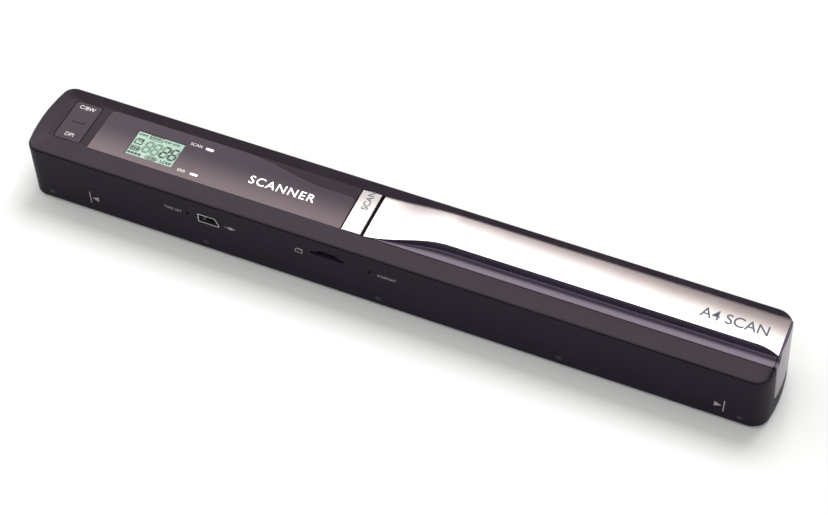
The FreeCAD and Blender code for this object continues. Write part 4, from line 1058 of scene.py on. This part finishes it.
# ---- Rollers ------------------------------------------------------------------------------------
# Four rubber tyres, finely ribbed so that they grip the page, on acetal hubs pressed on two steel
# shafts, which run in acetal bearing blocks.
TYRE_R = 3.4 * MM
TYRE_BORE = 2.3 * MM
TYRE_HALF = 2.2 * MM
TYRE_X = (-112.9 * MM, 120.2 * MM)
SHAFT_Y = 9.0 * MM
RIBS = 44
RIB_DEPTH = 0.16 * MM
TYRE_ROUND = 0.4 * MM
TREAD_CREASE = 25

rubber = surface("black_rubber", (0.012, 0.012, 0.012), (0.022, 0.022, 0.021), 0.70,
                 grain=0.15 * MM, bump=0.25)
acetal = surface("white_acetal", (0.62, 0.61, 0.58), (0.70, 0.69, 0.66), 0.38, bump=0.04)


def tyre(middle, y):
    """Loops of a ribbed ring: rounded shoulders, fine ribs across the tread, plain bore."""
    profile = [(-TYRE_HALF, TYRE_BORE, 0.0), (-TYRE_HALF, TYRE_R - TYRE_ROUND, 0.0)]
    profile += [(-TYRE_HALF + TYRE_ROUND * (1 - math.cos(turn)), TYRE_R - TYRE_ROUND * (1 - math.sin(turn)),
                 turn / math.radians(90)) for turn in (math.radians(30), math.radians(60), math.radians(90))]
    profile += [(-x, radius, depth) for x, radius, depth in profile[::-1]]
    loops = []
    for x, radius, depth in profile:
        loop = []
        for step, (across, up) in enumerate(full_turn(RIBS * 4)):
            reach = radius - (RIB_DEPTH * depth if step % 4 in (0, 1) else 0.0)
            loop.append((middle + x, y + reach * across, TYRE_R + reach * up))
        loops.append(loop)
    return loops


for side, sign in (("front", -1), ("rear", 1)):
    tread_mesh = band_mesh("tyres", [tyre(middle, sign * SHAFT_Y) for middle in TYRE_X])
    smooth(tread_mesh, TREAD_CREASE)
    tread = new_piece(side + "_tyre_treads", tread_mesh, rubber, side + "_roller")
    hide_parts(side + "_tyres")
    finish_nodes(acetal, side + "_hubs")
finish_nodes(acetal, "bearing_blocks")


# ---- Encoder ------------------------------------------------------------------------------------
# A pinion on the rear shaft turns a slotted disc through a small gear, and a light gate counts the
# slots, so that the scanner knows how fast it is rolled.
GEAR_CREASE = 25
finish_nodes(acetal, "shaft_pinion", "encoder_gear", crease=GEAR_CREASE)
smoked_film = surface("smoked_film", (0.012, 0.011, 0.012), (0.018, 0.017, 0.018), 0.25)
finish_nodes(smoked_film, "encoder_disc")
finish_nodes(black_plastic, "encoder_bracket")


# ---- Battery bay --------------------------------------------------------------------------------
# A black tray with two AA cells end to end, a bent leaf contact at one end and nickel-plated strips
# at both. The cells wear a plain shrink sleeve in two colours.
CELL_R = 7.2 * MM
CELL_Y = 4.9 * MM
CELL_Z = 15.85 * MM
CELL_LENGTH = 49.4 * MM
CELL_STARTS = (17.2 * MM, 67.72 * MM)
CELL_STEPS = 72
SLEEVE_T = 0.03 * MM
SLEEVE_ROLL = 0.002
SLEEVE_CREASE = 30

finish_nodes(black_plastic, "battery_tray")
nickel = surface("nickel_plate", (0.60, 0.58, 0.54), (0.70, 0.68, 0.64), 0.22, bump=0.03)
set_shader(nickel, Metallic=1.0)
finish_nodes(nickel, "battery_cells", "battery_spring", "battery_contacts")


def sleeve_mesh(start, end):
    """Thin tube round each cell between two shares of its length, rolled in at its ends."""
    profile = [(start, -SLEEVE_T), (start + SLEEVE_ROLL, SLEEVE_T), (end - SLEEVE_ROLL, SLEEVE_T),
               (end, -SLEEVE_T)]
    tubes = [[[(x + CELL_LENGTH * share, CELL_Y + (CELL_R + lift) * across, CELL_Z + (CELL_R + lift) * up)
               for across, up in full_turn(CELL_STEPS)] for share, lift in profile] for x in CELL_STARTS]
    mesh = band_mesh("sleeve", tubes)
    smooth(mesh, SLEEVE_CREASE)
    return mesh


sleeve_green = surface("green_sleeve", (0.020, 0.120, 0.060), (0.028, 0.150, 0.075), 0.30, bump=0.02)
sleeve_grey = surface("grey_sleeve", (0.28, 0.28, 0.29), (0.36, 0.36, 0.37), 0.30, bump=0.02)
new_piece("cell_sleeves", sleeve_mesh(0.012, 0.72), sleeve_green, "case")
new_piece("cell_bands", sleeve_mesh(0.72, 0.985), sleeve_grey, "case")


# ---- Battery door -------------------------------------------------------------------------------
# A long panel of the lower shell's satin ABS, flush in the back wall, with three finger grooves. It
# swings down on a barrel along its foot.
finish_nodes(lower_satin, "battery_door")


bpy.context.view_layer.update()
